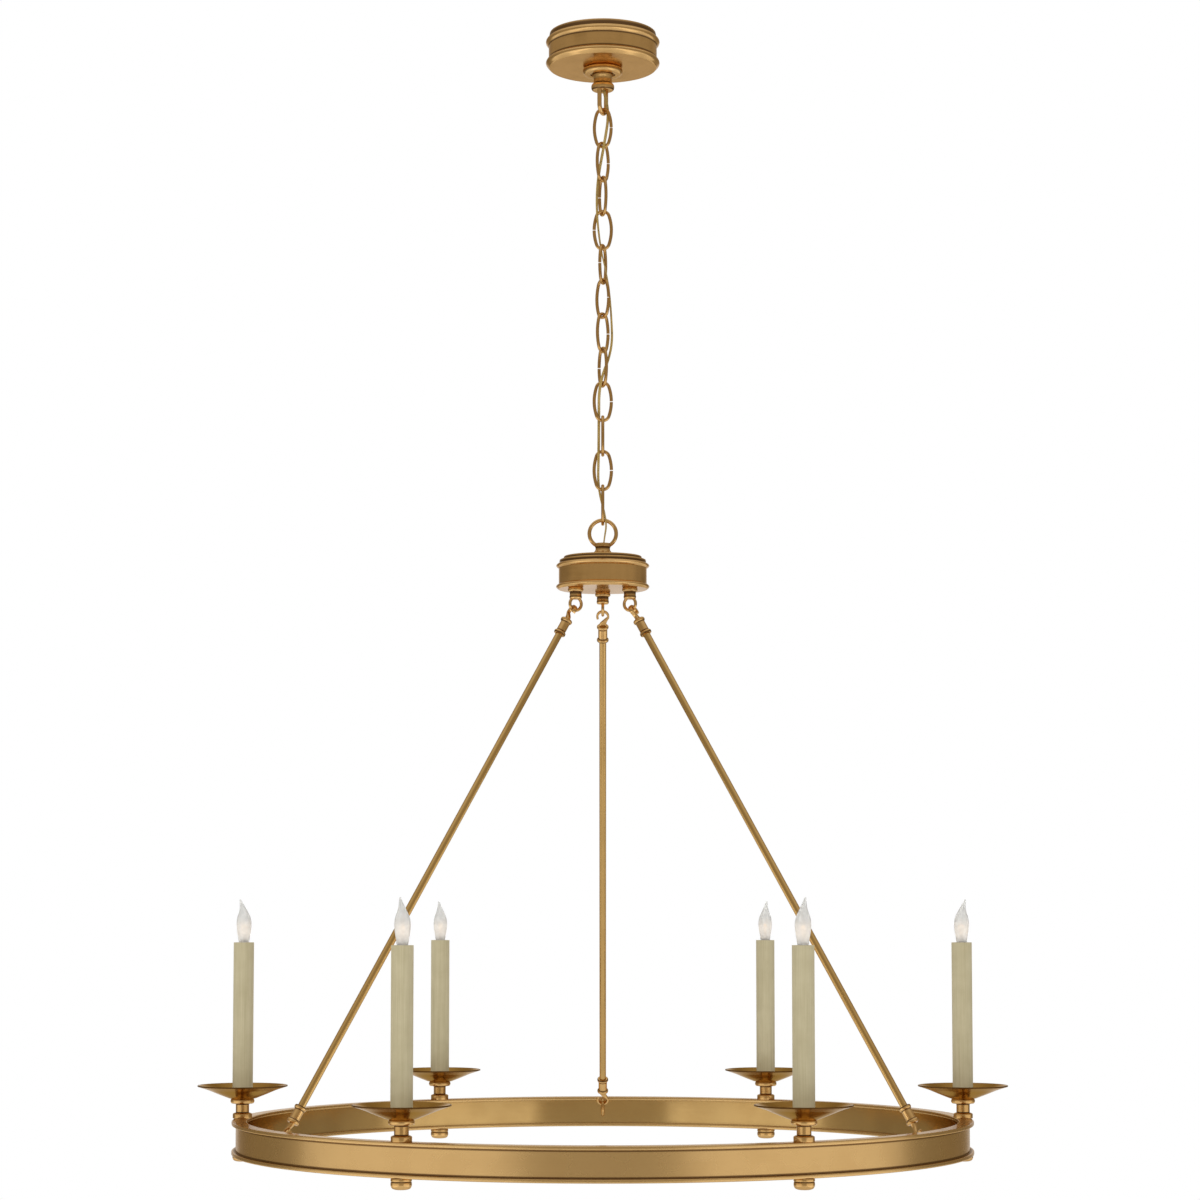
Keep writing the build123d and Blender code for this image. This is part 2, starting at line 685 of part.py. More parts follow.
def bobeche():
    """Shallow spun dish with a rolled lip, clamped between the column and the sleeve."""
    bore = stem_diameter / 2 + thread_gap
    lip = bobeche_diameter / 2 - bobeche_lip_radius
    lip_z = seat_top_z + bobeche_depth - bobeche_lip_radius
    floor = bobeche_floor_diameter / 2
    turn = bobeche_lip_radius * 0.7
    with BuildLine(Plane.XZ) as line:
        Line((bore, seat_top_z), (floor, seat_top_z))
        Line((floor, seat_top_z), (lip + turn, lip_z - turn))
        ThreePointArc((lip + turn, lip_z - turn), (lip + turn, lip_z + turn), (lip - turn, lip_z + turn))
        Line((lip - turn, lip_z + turn), (floor - bobeche_wall * 0.3, sleeve_foot_z))
        Line((floor - bobeche_wall * 0.3, sleeve_foot_z), (bore, sleeve_foot_z))
        Line((bore, sleeve_foot_z), (bore, seat_top_z))
    return revolve(make_face(line.line), Axis.Z)


def candle_sleeve():
    """Thin tube that stands for the candle and hides the socket."""
    return tube(sleeve_diameter, sleeve_diameter - 2 * sleeve_wall, sleeve_foot_z, sleeve_top_z)


def candle_socket():
    """Lamp holder: a tang on the stem and a well for the bulb's screw base."""
    outer = socket_diameter / 2
    well = bulb_base_diameter / 2 + loose_gap
    well_floor = bulb_foot_z - loose_gap
    tang = stem_diameter / 2 + 2
    bore = stem_diameter / 2 + thread_gap
    foot = socket_top_z - socket_height
    shoulder = foot + socket_tang_height
    return turned([
        (bore, foot - socket_tang_height), (tang, foot - socket_tang_height), (tang, foot),
        (outer, shoulder), (outer, socket_top_z), (well, socket_top_z),
        (well, well_floor), (0, well_floor),
        (0, foot), (bore, foot)])


def bulb():
    """Bent-tip bulb: screw base with its contact, and a glass that leans outwards at the tip."""
    contact = disc(bulb_contact_diameter, bulb_foot_z, bulb_foot_z + bulb_contact_height)
    base_top = bulb_foot_z + bulb_base_height
    base = disc(bulb_base_diameter, bulb_foot_z + bulb_contact_height, base_top)
    tip_z = sleeve_top_z + bulb_visible_height
    shoulder_z = sleeve_top_z + bulb_shoulder_height
    upper_z = (shoulder_z + tip_z) / 2
    sections = [
        (0, base_top, bulb_neck_diameter - 1.4),
        (0, base_top + 3, bulb_neck_diameter),
        (0, sleeve_top_z + bulb_belly_height * 0.4, (bulb_neck_diameter + bulb_belly_diameter) / 2 - 0.6),
        (0, sleeve_top_z + bulb_belly_height, bulb_belly_diameter),
        (bulb_tip_reach * 0.14, shoulder_z, bulb_shoulder_diameter),
        (bulb_tip_reach * 0.5, upper_z, bulb_shoulder_diameter * 0.5),
        (bulb_tip_reach, tip_z, bulb_tip_diameter)]
    glass = loft([Plane(origin=(shift, 0, height)) * Circle(size / 2) for shift, height, size in sections])
    return [contact + base, glass]


save("mounting_strap", mounting_strap())
save("canopy_nipple", tube(nipple_diameter, nipple_bore, -nipple_length, 0))
strap_nut_z = -strap_thickness - locknut_height
nut_bore = nipple_diameter + 2 * thread_gap
save("nipple_locknuts", hex_nut(strap_nut_flats, nut_bore, strap_nut_z, locknut_height),
     hex_nut(strap_nut_flats, nut_bore, -barrel_top, locknut_height))
save("ground_screw", ground_screw())
save("canopy_loop", canopy_loop())
save("lamp_cord", lamp_cord())
save("canopy", canopy())
save("canopy_collar", canopy_collar())
for link_number in range(1, len(link_yaws) + 1):
    save(f"chain_link_{link_number:02d}", chain_link(link_number))
save("hub_loop", hub_loop())
save("hub_top_cap", hub_top_cap())
save("hub_band", hub_band())
save("hub_base_plate", hub_base_plate())
save("hub_nipple", hub_nipple())
save("hub_locknuts", *hub_locknuts())
save("wire_nuts", *wire_nuts())
save("hub_eyes", *[Rot(0, 0, azimuth) * Pos(hub_eye_circle, 0, 0) * hub_eye() for azimuth in rod_azimuths.values()])
for side, side_azimuth in rod_azimuths.items():
    side_tube, side_hooks = rod_pieces(side_azimuth)
    save(f"rod_tube_{side}", side_tube)
    save(f"rod_hooks_{side}", *side_hooks)
save("ring_channel", ring_channel())
save("ring_inner_band", ring_inner_band())
save("ring_eyes", *[Rot(0, 0, azimuth) * Pos(ring_eye_radius, 0, 0) * ring_eye() for azimuth in rod_azimuths.values()])
save("ring_harness", *[Rot(0, 0, 360 / candle_count * number) * harness_lead() for number in range(candle_count)])
save("candle_columns", *around(candle_column(), candle_count, candle_circle))
save("candle_stems", *around(candle_stem(), candle_count, candle_circle))
save("cap_nuts", *around(cap_nut(), candle_count, candle_circle))
save("candle_sockets", *around(candle_socket(), candle_count, candle_circle))
for number, dish in enumerate(around(bobeche(), candle_count, candle_circle), 1):
    save(f"bobeche_{number}", dish)
for number, sleeve in enumerate(around(candle_sleeve(), candle_count, candle_circle), 1):
    save(f"candle_sleeve_{number}", sleeve)
bulb_solids = bulb()
for number in range(candle_count):
    place = Rot(0, 0, 360 / candle_count * number) * Pos(candle_circle, 0, 0)
    save(f"bulb_{number + 1}", *[place * solid for solid in bulb_solids])
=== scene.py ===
"""Looks of the ring chandelier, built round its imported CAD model, in metres."""

import math

import bmesh
import bpy
import numpy as np
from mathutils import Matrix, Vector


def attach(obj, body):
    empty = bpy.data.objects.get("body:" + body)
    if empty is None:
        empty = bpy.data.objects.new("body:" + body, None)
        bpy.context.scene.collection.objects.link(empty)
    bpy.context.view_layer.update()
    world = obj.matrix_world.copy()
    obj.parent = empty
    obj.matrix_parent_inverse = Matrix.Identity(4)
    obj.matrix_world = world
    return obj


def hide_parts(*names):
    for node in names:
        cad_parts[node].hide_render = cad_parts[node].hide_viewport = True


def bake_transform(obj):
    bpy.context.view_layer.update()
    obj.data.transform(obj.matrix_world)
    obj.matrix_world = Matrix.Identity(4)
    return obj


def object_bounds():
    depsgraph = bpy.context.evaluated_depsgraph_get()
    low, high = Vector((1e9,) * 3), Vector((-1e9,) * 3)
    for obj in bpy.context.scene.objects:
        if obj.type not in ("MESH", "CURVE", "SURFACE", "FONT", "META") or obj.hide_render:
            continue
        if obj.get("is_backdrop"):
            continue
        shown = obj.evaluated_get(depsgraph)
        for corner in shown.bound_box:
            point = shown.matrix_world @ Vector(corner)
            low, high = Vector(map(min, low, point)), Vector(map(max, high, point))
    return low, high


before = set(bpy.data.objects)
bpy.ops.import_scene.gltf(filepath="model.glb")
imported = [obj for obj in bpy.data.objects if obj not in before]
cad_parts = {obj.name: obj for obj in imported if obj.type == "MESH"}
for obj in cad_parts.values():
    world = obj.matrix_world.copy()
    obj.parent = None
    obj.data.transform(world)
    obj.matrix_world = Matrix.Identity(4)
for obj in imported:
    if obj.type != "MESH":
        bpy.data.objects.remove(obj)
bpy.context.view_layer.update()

MM = 0.001
CANDLES = 6
CANDLE_CIRCLE = 400.0
ROD_AZIMUTHS = {"left": 210.0, "right": 330.0, "back": 90.0}
LINK_YAWS = [-12, 50, 112, 178, 250, 313, 52, 115, 7, 90, 0, 90]
LINK_FIRST_TOP = -87.35
LINK_PITCH = 39.3
LINK_SPAN = 43.3
BAIL_YAW = 67.0
EYE_RADIUS = 7.25
EYE_WIRE, LINK_WIRE, BAIL_WIRE, HUB_RING_WIRE = 1.75, 1.85, 2.5, 2.15
HUB_HOOK_PLAY, RING_HOOK_PLAY = 0.65, 1.05
SHARP_EDGE = math.radians(32)

# Looks: the even light on the pieces, painted shade on outer edges in place of dark reflections, the colour of patina
# and painted shade in creases, and the brass at a grazing view
DIFFUSE_WORLD = 0.62
EDGE_PAINTED_SHADE, DISH_EDGE_PAINTED_SHADE = 0.15, 0.5
GRAZING_TINT = (0.78, 0.62, 0.42, 1.0)
PATINA_AND_SHADE = (0.10, 0.042, 0.012, 1.0)

# Heights in metres between which the painted glow on the glass comes up and goes out again
WARM_FOOT, WARM_TOP = (-1.034, -1.022), (-1.004, -1.018)


# Shader trees

class Socket:
    """An output of a node; arithmetic on it adds Math nodes to the same tree."""

    def __init__(self, paint, link):
        self.paint = paint
        self.link = link

    def math(self, operation, first, second):
        return self.paint.node("ShaderNodeMath", {"operation": operation}, {0: first, 1: second})

    def __add__(self, other):
        return self.math("ADD", self, other)

    def __sub__(self, other):
        return self.math("SUBTRACT", self, other)

    def __rsub__(self, other):
        return self.math("SUBTRACT", other, self)

    def __mul__(self, other):
        return self.math("MULTIPLY", self, other)

    def larger(self, other):
        return self.math("MAXIMUM", self, other)

    def fade(self, low, high):
        """0 below low, 1 above high and a smooth step between; falling where high is the smaller."""
        settings = {"interpolation_type": "SMOOTHSTEP"}
        return self.paint.node("ShaderNodeMapRange", settings, {"Value": self, "From Min": low, "From Max": high})

    __radd__ = __add__
    __rmul__ = __mul__


class Paint:
    """A node tree, with one way to add a node to it."""

    def __init__(self, tree):
        self.tree = tree
        tree.nodes.clear()

    def node(self, kind, settings=None, sockets=None, out=0):
        """Adds a node: its settings first, then values or links on its sockets; returns one of its outputs."""
        made = self.tree.nodes.new(kind)
        for key, value in (settings or {}).items():
            setattr(made, key, value)
        for key, value in (sockets or {}).items():
            if isinstance(value, Socket):
                self.tree.links.new(value.link, made.inputs[key])
            else:
                made.inputs[key].default_value = value
        return Socket(self, made.outputs[out]) if len(made.outputs) else None

    def mix(self, factor, first, second):
        """Colour between two colours."""
        sockets = {0: factor, 6: first, 7: second}
        return self.node("ShaderNodeMix", {"data_type": "RGBA"}, sockets, out=2)

    def stretched(self, vector, scales, turn=(0.0, 0.0, 0.0)):
        """Coordinates turned and then stretched along each axis."""
        turned_vector = self.node("ShaderNodeMapping", {"vector_type": "POINT"}, {"Vector": vector, "Rotation": turn})
        return self.node("ShaderNodeVectorMath", {"operation": "MULTIPLY"}, {0: turned_vector, 1: scales})

    def noise(self, vector, scale=1.0, detail=2.0, roughness=0.5):
        return self.node("ShaderNodeTexNoise", None, {
            "Vector": vector, "Scale": scale, "Detail": detail, "Roughness": roughness})

    def bump(self, height, distance):
        return self.node("ShaderNodeBump", None, {"Height": height, "Distance": distance, "Strength": 1.0})

    def place(self):
        """Object coordinates, which are the frame's own metres at rest."""
        return self.node("ShaderNodeTexCoord", out=3)

    def grain(self):
        """The piece's own coordinates: two across its section and one along its outline or path, in metres."""
        return self.node("ShaderNodeAttribute", {"attribute_name": "grain"}, out=1)


def material(name):
    """New material; returns it with its tree."""
    made = bpy.data.materials.new(name)
    made.use_nodes = True
    return made, Paint(made.node_tree)


def finish_material(paint, shader):
    paint.node("ShaderNodeOutputMaterial", None, {"Surface": shader})


def colour(red, green, blue):
    """Linear colour from the 0 to 255 values that a picture shows."""
    channels = [channel / 255 for channel in (red, green, blue)]
    return tuple(c / 12.92 if c < 0.04 else ((c + 0.055) / 1.055) ** 2.4 for c in channels) + (1.0,)


def brass(name, light, dark, roughness=0.2, grain_scales=(60.0, 60.0, 3000.0), lines=0.3, dull=0.3, coat=0.4,
          patina_and_shade_colour=PATINA_AND_SHADE):
    """Antique brass under lacquer: faint brushed lines along the grain, cloudy darker patches, dark patina in the
    grooves that doubles as painted shade there, and, more thinly, painted shade on outer edges for dark reflections."""
    made, paint = material(name)
    place = paint.place()
    along = paint.grain()
    brushed = paint.noise(paint.stretched(along, grain_scales), detail=2.0, roughness=0.5)
    wide = paint.noise(paint.stretched(along, tuple(scale * 0.12 for scale in grain_scales)), detail=2.0)
    cloud = paint.noise(place, scale=30.0, detail=3.0, roughness=0.5).fade(0.35, 0.7)
    specks = paint.noise(place, scale=260.0, detail=2.0).fade(0.62, 0.9)
    patina_and_painted_shade = paint.node("ShaderNodeAttribute", {"attribute_name": "patina_and_painted_shade"}, out=2)
    tone = cloud * dull + (brushed - 0.5) * lines + (wide - 0.5) * lines
    base = paint.mix(tone.fade(-0.15, 0.85), light, dark)
    base = paint.mix(specks * 0.06, base, dark)
    # Patina in the creases together with painted shade there, and painted shade on outer edges in place of dark
    # reflections
    base = paint.mix(patina_and_painted_shade.fade(0.05, 0.5) * 0.92, base, patina_and_shade_colour)
    finish_material(paint, paint.node("ShaderNodeBsdfPrincipled", None, {
        "Base Color": base, "Metallic": 1.0, "Roughness": cloud * 0.03 + patina_and_painted_shade * 0.2 + roughness,
        "Coat Roughness": 0.1, "Coat Weight": coat - patina_and_painted_shade * coat * 0.7, "Specular Tint": GRAZING_TINT,
        "Normal": paint.bump(brushed + wide * 0.6, 0.000004 * lines)}))
    return made


def metal(name, light, dark, roughness=0.35):
    """Plain plated or painted metal of a hidden piece, cloudy and a little scuffed."""
    made, paint = material(name)
    place = paint.place()
    cloud = paint.noise(place, scale=90.0, detail=4.0)
    scuffs = paint.noise(paint.stretched(place, (900.0, 900.0, 120.0)), detail=3.0)
    base = paint.mix(cloud.fade(0.35, 0.7), light, dark)
    finish_material(paint, paint.node("ShaderNodeBsdfPrincipled", None, {
        "Base Color": base, "Metallic": 0.9, "Roughness": scuffs * 0.3 + (roughness - 0.15),
        "Normal": paint.bump(scuffs, 0.00005)}))
    return made


def moulded(name, light, dark, roughness=0.45, grain=700.0):
    """Moulded plastic or insulation with a fine pebbled surface."""
    made, paint = material(name)
    place = paint.place()
    pebbles = paint.noise(place, scale=grain, detail=3.0)
    base = paint.mix(paint.noise(place, scale=70.0, detail=3.0).fade(0.3, 0.7), light, dark)
    finish_material(paint, paint.node("ShaderNodeBsdfPrincipled", None, {
        "Base Color": base, "Roughness": pebbles * 0.2 + (roughness - 0.1),
        "Specular IOR Level": 0.45, "Normal": paint.bump(pebbles, 0.00004)}))
    return made


def candle_card():
    """Painted card of the candle sleeves: fine upright streaks in a greenish beige, a little darker in places."""
    made, paint = material("candle_card")
    grain = paint.grain()
    streaks = paint.noise(paint.stretched(grain, (1900.0, 1900.0, 14.0)), detail=3.0, roughness=0.7)
    bands = paint.noise(paint.stretched(grain, (260.0, 260.0, 5.0)), detail=2.0)
    cloud = paint.noise(paint.place(), scale=55.0, detail=4.0)
    tone = (streaks - 0.5) * 0.8 + (bands - 0.5) * 0.35 + (cloud - 0.5) * 0.4 + 0.5
    base = paint.mix(tone.fade(0.1, 0.9), colour(209, 198, 163), colour(179, 167, 130))
    finish_material(paint, paint.node("ShaderNodeBsdfPrincipled", None, {
        "Base Color": base, "Roughness": streaks * 0.2 + 0.42, "Specular IOR Level": 0.4,
        "Normal": paint.bump(streaks, 0.00006)}))
    return made


def cord_skin():
    """Gold translucent insulation over twisted strands, which show as slanting glints."""
    made, paint = material("cord_gold")
    strands = paint.node("ShaderNodeTexWave", {"bands_direction": "DIAGONAL", "wave_profile": "SIN"}, {
        "Vector": paint.stretched(paint.grain(), (300.0, 300.0, 420.0)), "Scale": 1.0, "Distortion": 1.5,
        "Detail": 2.0})
    cloud = paint.noise(paint.place(), scale=300.0, detail=2.0)
    base = paint.mix(strands * 0.7 + cloud * 0.3, colour(150, 118, 52), colour(214, 184, 108))
    finish_material(paint, paint.node("ShaderNodeBsdfPrincipled", None, {
        "Base Color": base, "Roughness": 0.28 + cloud * 0.1, "Metallic": 0.35, "Coat Weight": strands * 0.2 + 0.5,
        "Normal": paint.bump(strands, 0.00008)}))
    return made


def bulb_glass():
    """Thin glass with a soft satin haze and a painted warm glow round the coil's height, over a faint grey painted
    glow.
    """
    made, paint = material("bulb_glass")
    place = paint.place()
    haze = paint.noise(place, scale=160.0, detail=3.0)
    height = paint.node("ShaderNodeSeparateXYZ", None, {0: place}, out=2)
    # Painted glow: the satin glass emits warm light round the coil's height and a faint grey elsewhere
    warm = height.fade(*WARM_FOOT) * height.fade(*WARM_TOP)
    clear = paint.node("ShaderNodeBsdfPrincipled", None, {
        "Base Color": colour(250, 250, 248), "Roughness": haze * 0.05 + 0.02, "IOR": 1.42, "Transmission Weight": 1.0})
    satin = paint.node("ShaderNodeBsdfPrincipled", None, {
        "Base Color": colour(246, 245, 242), "Roughness": haze * 0.1 + 0.3, "Transmission Weight": 0.3,
        "Emission Color": paint.mix(warm, (0.1, 0.1, 0.1, 1.0), (0.9, 0.68, 0.5, 1.0)), "Emission Strength": 0.14})
    finish_material(paint, paint.node("ShaderNodeMixShader", None, {0: haze * 0.3 + 0.38, 1: clear, 2: satin}))
    return made


def glow():
    """The coil and its two lead wires, painted with a warm glow."""
    made, paint = material("bulb_glow")
    flicker = paint.noise(paint.place(), scale=900.0, detail=2.0)
    base = paint.mix(flicker, colour(255, 214, 160), colour(255, 236, 205))
    finish_material(paint, paint.node("ShaderNodeBsdfPrincipled", None, {
        "Base Color": base, "Roughness": 0.5, "Emission Color": base, "Emission Strength": 0.9}))
    return made


# Surfaces

def rounded(corners, steps=5):
    """Outline with rounded corners. At a corner C given as (radius, height, d), A and B lie d before and after
    it on its two sides, and the outline runs along (1-t)^2 A + 2t(1-t) C + t^2 B."""
    count = len(corners)
    points = np.array([corner[:2] for corner in corners], float)
    setback = np.array([corner[2] if len(corner) > 2 else 0.0 for corner in corners])
    before, after = np.roll(points, 1, 0) - points, np.roll(points, -1, 0) - points
    before /= np.linalg.norm(before, axis=1)[:, None]
    after /= np.linalg.norm(after, axis=1)[:, None]
    start, end = points + before * setback[:, None], points + after * setback[:, None]
    t = np.linspace(0, 1, steps)[None, :, None]
    bend = (1 - t) ** 2 * start[:, None] + 2 * t * (1 - t) * points[:, None] + t ** 2 * end[:, None]
    kept = [bend[i] if setback[i] else points[i:i + 1] for i in range(count)]
    return np.vstack(kept)


def bulged(first, second, bulge, steps=9):
    """Points from first to second that stand out to the left by bulge sin(pi t)."""
    first, second = np.array(first, float), np.array(second, float)
    t = np.linspace(0, 1, steps)[:, None]
    run = second - first
    left = np.array([-run[1], run[0]]) / np.linalg.norm(run)
    return [tuple(point) for point in first + t * run + bulge * np.sin(math.pi * t) * left]


def smooth_through(points, steps=12):
    """Smooth curve through rows of values: each span is the cubic that leaves and enters its two rows with half the
    difference of their neighbours as slope."""
    p = np.array(points, float)
    p = np.vstack([2 * p[0] - p[1], p, 2 * p[-1] - p[-2]])
    t = np.linspace(0, 1, steps, endpoint=False)[None, :, None]
    a, b, c, d = p[:-3, None], p[1:-2, None], p[2:-1, None], p[3:, None]
    spans = 0.5 * (2 * b + (c - a) * t + (2 * a - 5 * b + 4 * c - d) * t ** 2 + (3 * b - a - 3 * c + d) * t ** 3)
    return np.vstack([spans.reshape(-1, p.shape[1]), p[-2:-1]])


def steps_along(line):
    """Distance covered at each point of a line of points."""
    return np.concatenate([[0.0], np.cumsum(np.linalg.norm(np.diff(line, axis=0), axis=1))])


def with_near_corners(outline, near=(0.7, 1.8)):
    """The outline with points added a little way from both ends of each long side."""
    run = np.diff(outline, axis=0)
    length = np.linalg.norm(run, axis=1)
    rows = [outline[:1]]
    for start, side, size in zip(outline, run, length):
        cuts = [d / size for d in near] + [1 - d / size for d in near[::-1]] if size > 3 * near[-1] else []
        rows.append(start + np.array(cuts + [1.0])[:, None] * side)
    return np.vstack(rows)


def creases(outline, reach, edge_shade_share):
    """How much patina and painted shade each point of an outline holds, 0 to 1: the inward turns of the outline, for
    patina and painted crease shade, and a share of its outward ones, for painted shade in place of dark edge
    reflections, each spread by exp(-(s - s0)^2 / 2 reach^2) along its length s, over a right angle."""
    length = steps_along(outline)
    ahead, behind = np.roll(outline, -1, 0) - outline, outline - np.roll(outline, 1, 0)
    if np.allclose(outline[0], outline[-1]):
        ahead[-1], behind[0] = ahead[0], behind[-1]
    bend = behind[:, 0] * ahead[:, 1] - behind[:, 1] * ahead[:, 0]
    bend = np.arctan2(bend, (behind * ahead).sum(1))
    inside = np.sign((outline[:-1, 0] * outline[1:, 1] - outline[1:, 0] * outline[:-1, 1]).sum())
    # Inward turns: patina and painted shade in the crease; outward turns: painted shade standing in for dark
    # reflections
    hollow = np.maximum(-bend * inside, 0) + edge_shade_share * np.maximum(bend * inside, 0)
    hollow[[0, -1]] = 0
    spread = np.exp(-(length[:, None] - length[None]) ** 2 / (2 * reach ** 2))
    return np.clip((spread * hollow[None]).sum(1) / (math.pi / 2), 0, 1)


def turned(outline, closed=True, turns=64, reach=0.4, edge_shade_share=EDGE_PAINTED_SHADE):
    """Solid of revolution: the point (r, z) of an outline goes to (r cos a, r sin a, z)."""
    outline = np.vstack([outline, outline[:1]]) if closed else np.array(outline, float)
    outline = with_near_corners(outline)
    angle = np.linspace(0, 2 * math.pi, turns, endpoint=False)
    r, z = outline[:, 0][:, None], outline[:, 1][:, None]
    points = np.stack([r * np.cos(angle), r * np.sin(angle), z + 0 * angle], -1)
    along = steps_along(outline)[:, None] + 0 * angle
    patina_and_painted_shade = creases(outline, reach, edge_shade_share)[:, None] + 0 * angle
    return points, np.stack([points[:, :, 0], points[:, :, 1], along, patina_and_painted_shade / MM], -1)


def carried(path, plane_normal, section, closed=False):
    """Section (across, up) of shape (points, 2) or (path points, points, 2) carried along a path: the point goes
    to P + across N + up B, with B the fixed normal of the path's plane, or near it, and N = B x T."""
    path = np.array(path, float)
    tangent = np.roll(path, -1, 0) - np.roll(path, 1, 0)
    if not closed:
        tangent[0], tangent[-1] = path[1] - path[0], path[-1] - path[-2]
    tangent /= np.linalg.norm(tangent, axis=1)[:, None]
    up = np.array(plane_normal, float) * np.ones_like(path)
    up -= (up * tangent).sum(1)[:, None] * tangent
    up /= np.linalg.norm(up, axis=1)[:, None]
    side = np.cross(up, tangent)
    section = np.broadcast_to(section, (len(path),) + np.shape(section)[-2:])
    if closed:
        path, side, up = (np.vstack([rows, rows[:1]]) for rows in (path, side, up))
        section = np.concatenate([section, section[:1]])
    else:
        path, side, up = (np.vstack([rows[:1], rows, rows[-1:]]) for rows in (path, side, up))
        section = np.concatenate([section[:1] * 0, section, section[-1:] * 0])
    points = path[:, None] + section[:, :, :1] * side[:, None] + section[:, :, 1:] * up[:, None]
    along = np.broadcast_to(steps_along(path)[:, None, None], section.shape[:2] + (1,))
    return points, np.concatenate([section, along, 0 * along], -1)


def circle_section(radius, count=16):
    """Circle as (radius cos a, radius sin a)."""
    angle = np.linspace(0, 2 * math.pi, count, endpoint=False)
    return radius * np.stack([np.cos(angle), np.sin(angle)], -1)


def slab_section(width, height, power=5.0, count=28):
    """Rounded rectangle |x/a|^n + |y/b|^n = 1, with half sides a and b that may change along the path."""
    angle = np.linspace(0, 2 * math.pi, count, endpoint=False)
    c, s = np.cos(angle), np.sin(angle)
    size = (np.abs(c) ** power + np.abs(s) ** power) ** (-1 / power)
    unit = np.stack([c * size, s * size], -1)
    half = np.stack(np.broadcast_arrays(np.asarray(width, float), np.asarray(height, float)), -1) / 2
    return half[..., None, :] * unit


def arc(centre, radius, start, end, steps=24):
    """Points of a circle in a plane, from one angle to another, in degrees."""
    angle = np.radians(np.linspace(start, end, steps))
    return np.stack([centre[0] + radius * np.cos(angle), centre[1] + radius * np.sin(angle)], -1)


def moved(grid, shift=(0.0, 0.0, 0.0), yaw=0.0, matrix=None):
    """Grid of points taken to p M + shift and then turned about Z; its grain coordinates stay."""
    points, grain = grid
    if matrix is not None:
        points = points @ np.array(matrix, float)
    a = math.radians(yaw)
    spin = np.array([[math.cos(a), math.sin(a), 0], [-math.sin(a), math.cos(a), 0], [0, 0, 1]])
    return (points + np.array(shift, float)) @ spin, grain


def build(name, grids, finish, body, nodes=(), ride=True):
    """Mesh piece from grids of points in millimetres, each closed across; poles are merged and faces point out."""
    points, grains, faces, first = [], [], [], 0
    for grid, grain in grids:
        rows, columns = grid.shape[:2]
        index = first + np.arange(rows * columns).reshape(rows, columns)
        right = np.roll(index, -1, 1)
        faces.append(np.stack([index[:-1], right[:-1], right[1:], index[1:]], -1).reshape(-1, 4))
        points.append(grid.reshape(-1, 3))
        grains.append(grain.reshape(-1, 4))
        first += rows * columns
    mesh = bpy.data.meshes.new(name)
    mesh.from_pydata((np.vstack(points) * MM).tolist(), [], np.vstack(faces).tolist())
    grains = (np.vstack(grains) * MM).astype(np.float32)
    mesh.attributes.new("grain", "FLOAT_VECTOR", "POINT").data.foreach_set("vector", grains[:, :3].ravel())
    mesh.attributes.new("patina_and_painted_shade", "FLOAT", "POINT").data.foreach_set("value", np.ascontiguousarray(grains[:, 3]))
    work = bmesh.new()
    work.from_mesh(mesh)
    bmesh.ops.remove_doubles(work, verts=work.verts, dist=1e-6)
    bmesh.ops.dissolve_degenerate(work, edges=work.edges, dist=1e-7)
    bmesh.ops.recalc_face_normals(work, faces=work.faces)
    work.to_mesh(mesh)
    work.free()
    mesh.shade_smooth()
    mesh.set_sharp_from_angle(angle=SHARP_EDGE)
    mesh.materials.append(finish)
    piece = bpy.data.objects.new(name, mesh)
    bpy.context.scene.collection.objects.link(piece)
    if nodes:
        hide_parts(*nodes)
    if ride:
        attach(piece, body)
    return piece


# Finishes
brass_light, brass_dark = (0.72, 0.44, 0.165, 1.0), (0.52, 0.30, 0.095, 1.0)
turned_brass = brass("brass_turned", brass_light, brass_dark, grain_scales=(50.0, 50.0, 1500.0), lines=0.4, dull=0.45)
wire_brass = brass("brass_wire", (0.60, 0.35, 0.12, 1.0), (0.42, 0.235, 0.075, 1.0), grain_scales=(900.0, 900.0, 60.0),
                   coat=0.25)
rod_brass = brass("brass_rods", (0.60, 0.375, 0.13, 1.0), (0.43, 0.255, 0.08, 1.0), roughness=0.15,
                  grain_scales=(700.0, 700.0, 6.0), lines=0.35, dull=0.2, coat=0.2)
ring_brass = brass("brass_ring", (0.67, 0.44, 0.185, 1.0), (0.56, 0.345, 0.135, 1.0), roughness=0.24,
                   grain_scales=(4.0, 4.0, 900.0), lines=0.2, dull=0.25, coat=0.2, patina_and_shade_colour=(0.16, 0.078, 0.026, 1.0))
# The dishes get a darker copy of the brass, darkened to stand in for the darker reflections under them: painted shade
dish_brass = brass("brass_dishes", (0.41, 0.24, 0.082, 1.0), (0.28, 0.16, 0.052, 1.0), roughness=0.17,
                   grain_scales=(25.0, 25.0, 1500.0), lines=0.25, coat=0.0)
inner_brass = brass("brass_ring_inside", (0.66, 0.445, 0.18, 1.0), (0.50, 0.31, 0.11, 1.0), roughness=0.14,
                    grain_scales=(4.0, 4.0, 900.0), lines=0.2, dull=0.25, coat=0.1)
plated = metal("plated_steel", colour(206, 206, 202), colour(150, 150, 148))
earth_green = metal("earth_green", colour(52, 138, 62), colour(30, 96, 44), roughness=0.45)
phenolic = moulded("socket_phenolic", colour(46, 42, 40), colour(30, 28, 27))
connector = moulded("connector_orange", colour(222, 128, 44), colour(196, 100, 30))
leads = moulded("lead_insulation", colour(70, 68, 66), colour(44, 43, 42))
card = candle_card()
cord_gold = cord_skin()
glass = bulb_glass()
glow_warm = glow()

# Hidden pieces keep their CAD shape
kept_finishes = {
    "mounting_strap": plated, "ground_screw": earth_green, "canopy_nipple": plated, "nipple_locknuts": plated,
    "hub_nipple": plated, "hub_locknuts": plated, "wire_nuts": connector, "candle_stems": plated,
    "candle_sockets": phenolic, "ring_harness": leads}
for node, finish in kept_finishes.items():
    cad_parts[node].data.materials.clear()
    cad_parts[node].data.materials.append(finish)

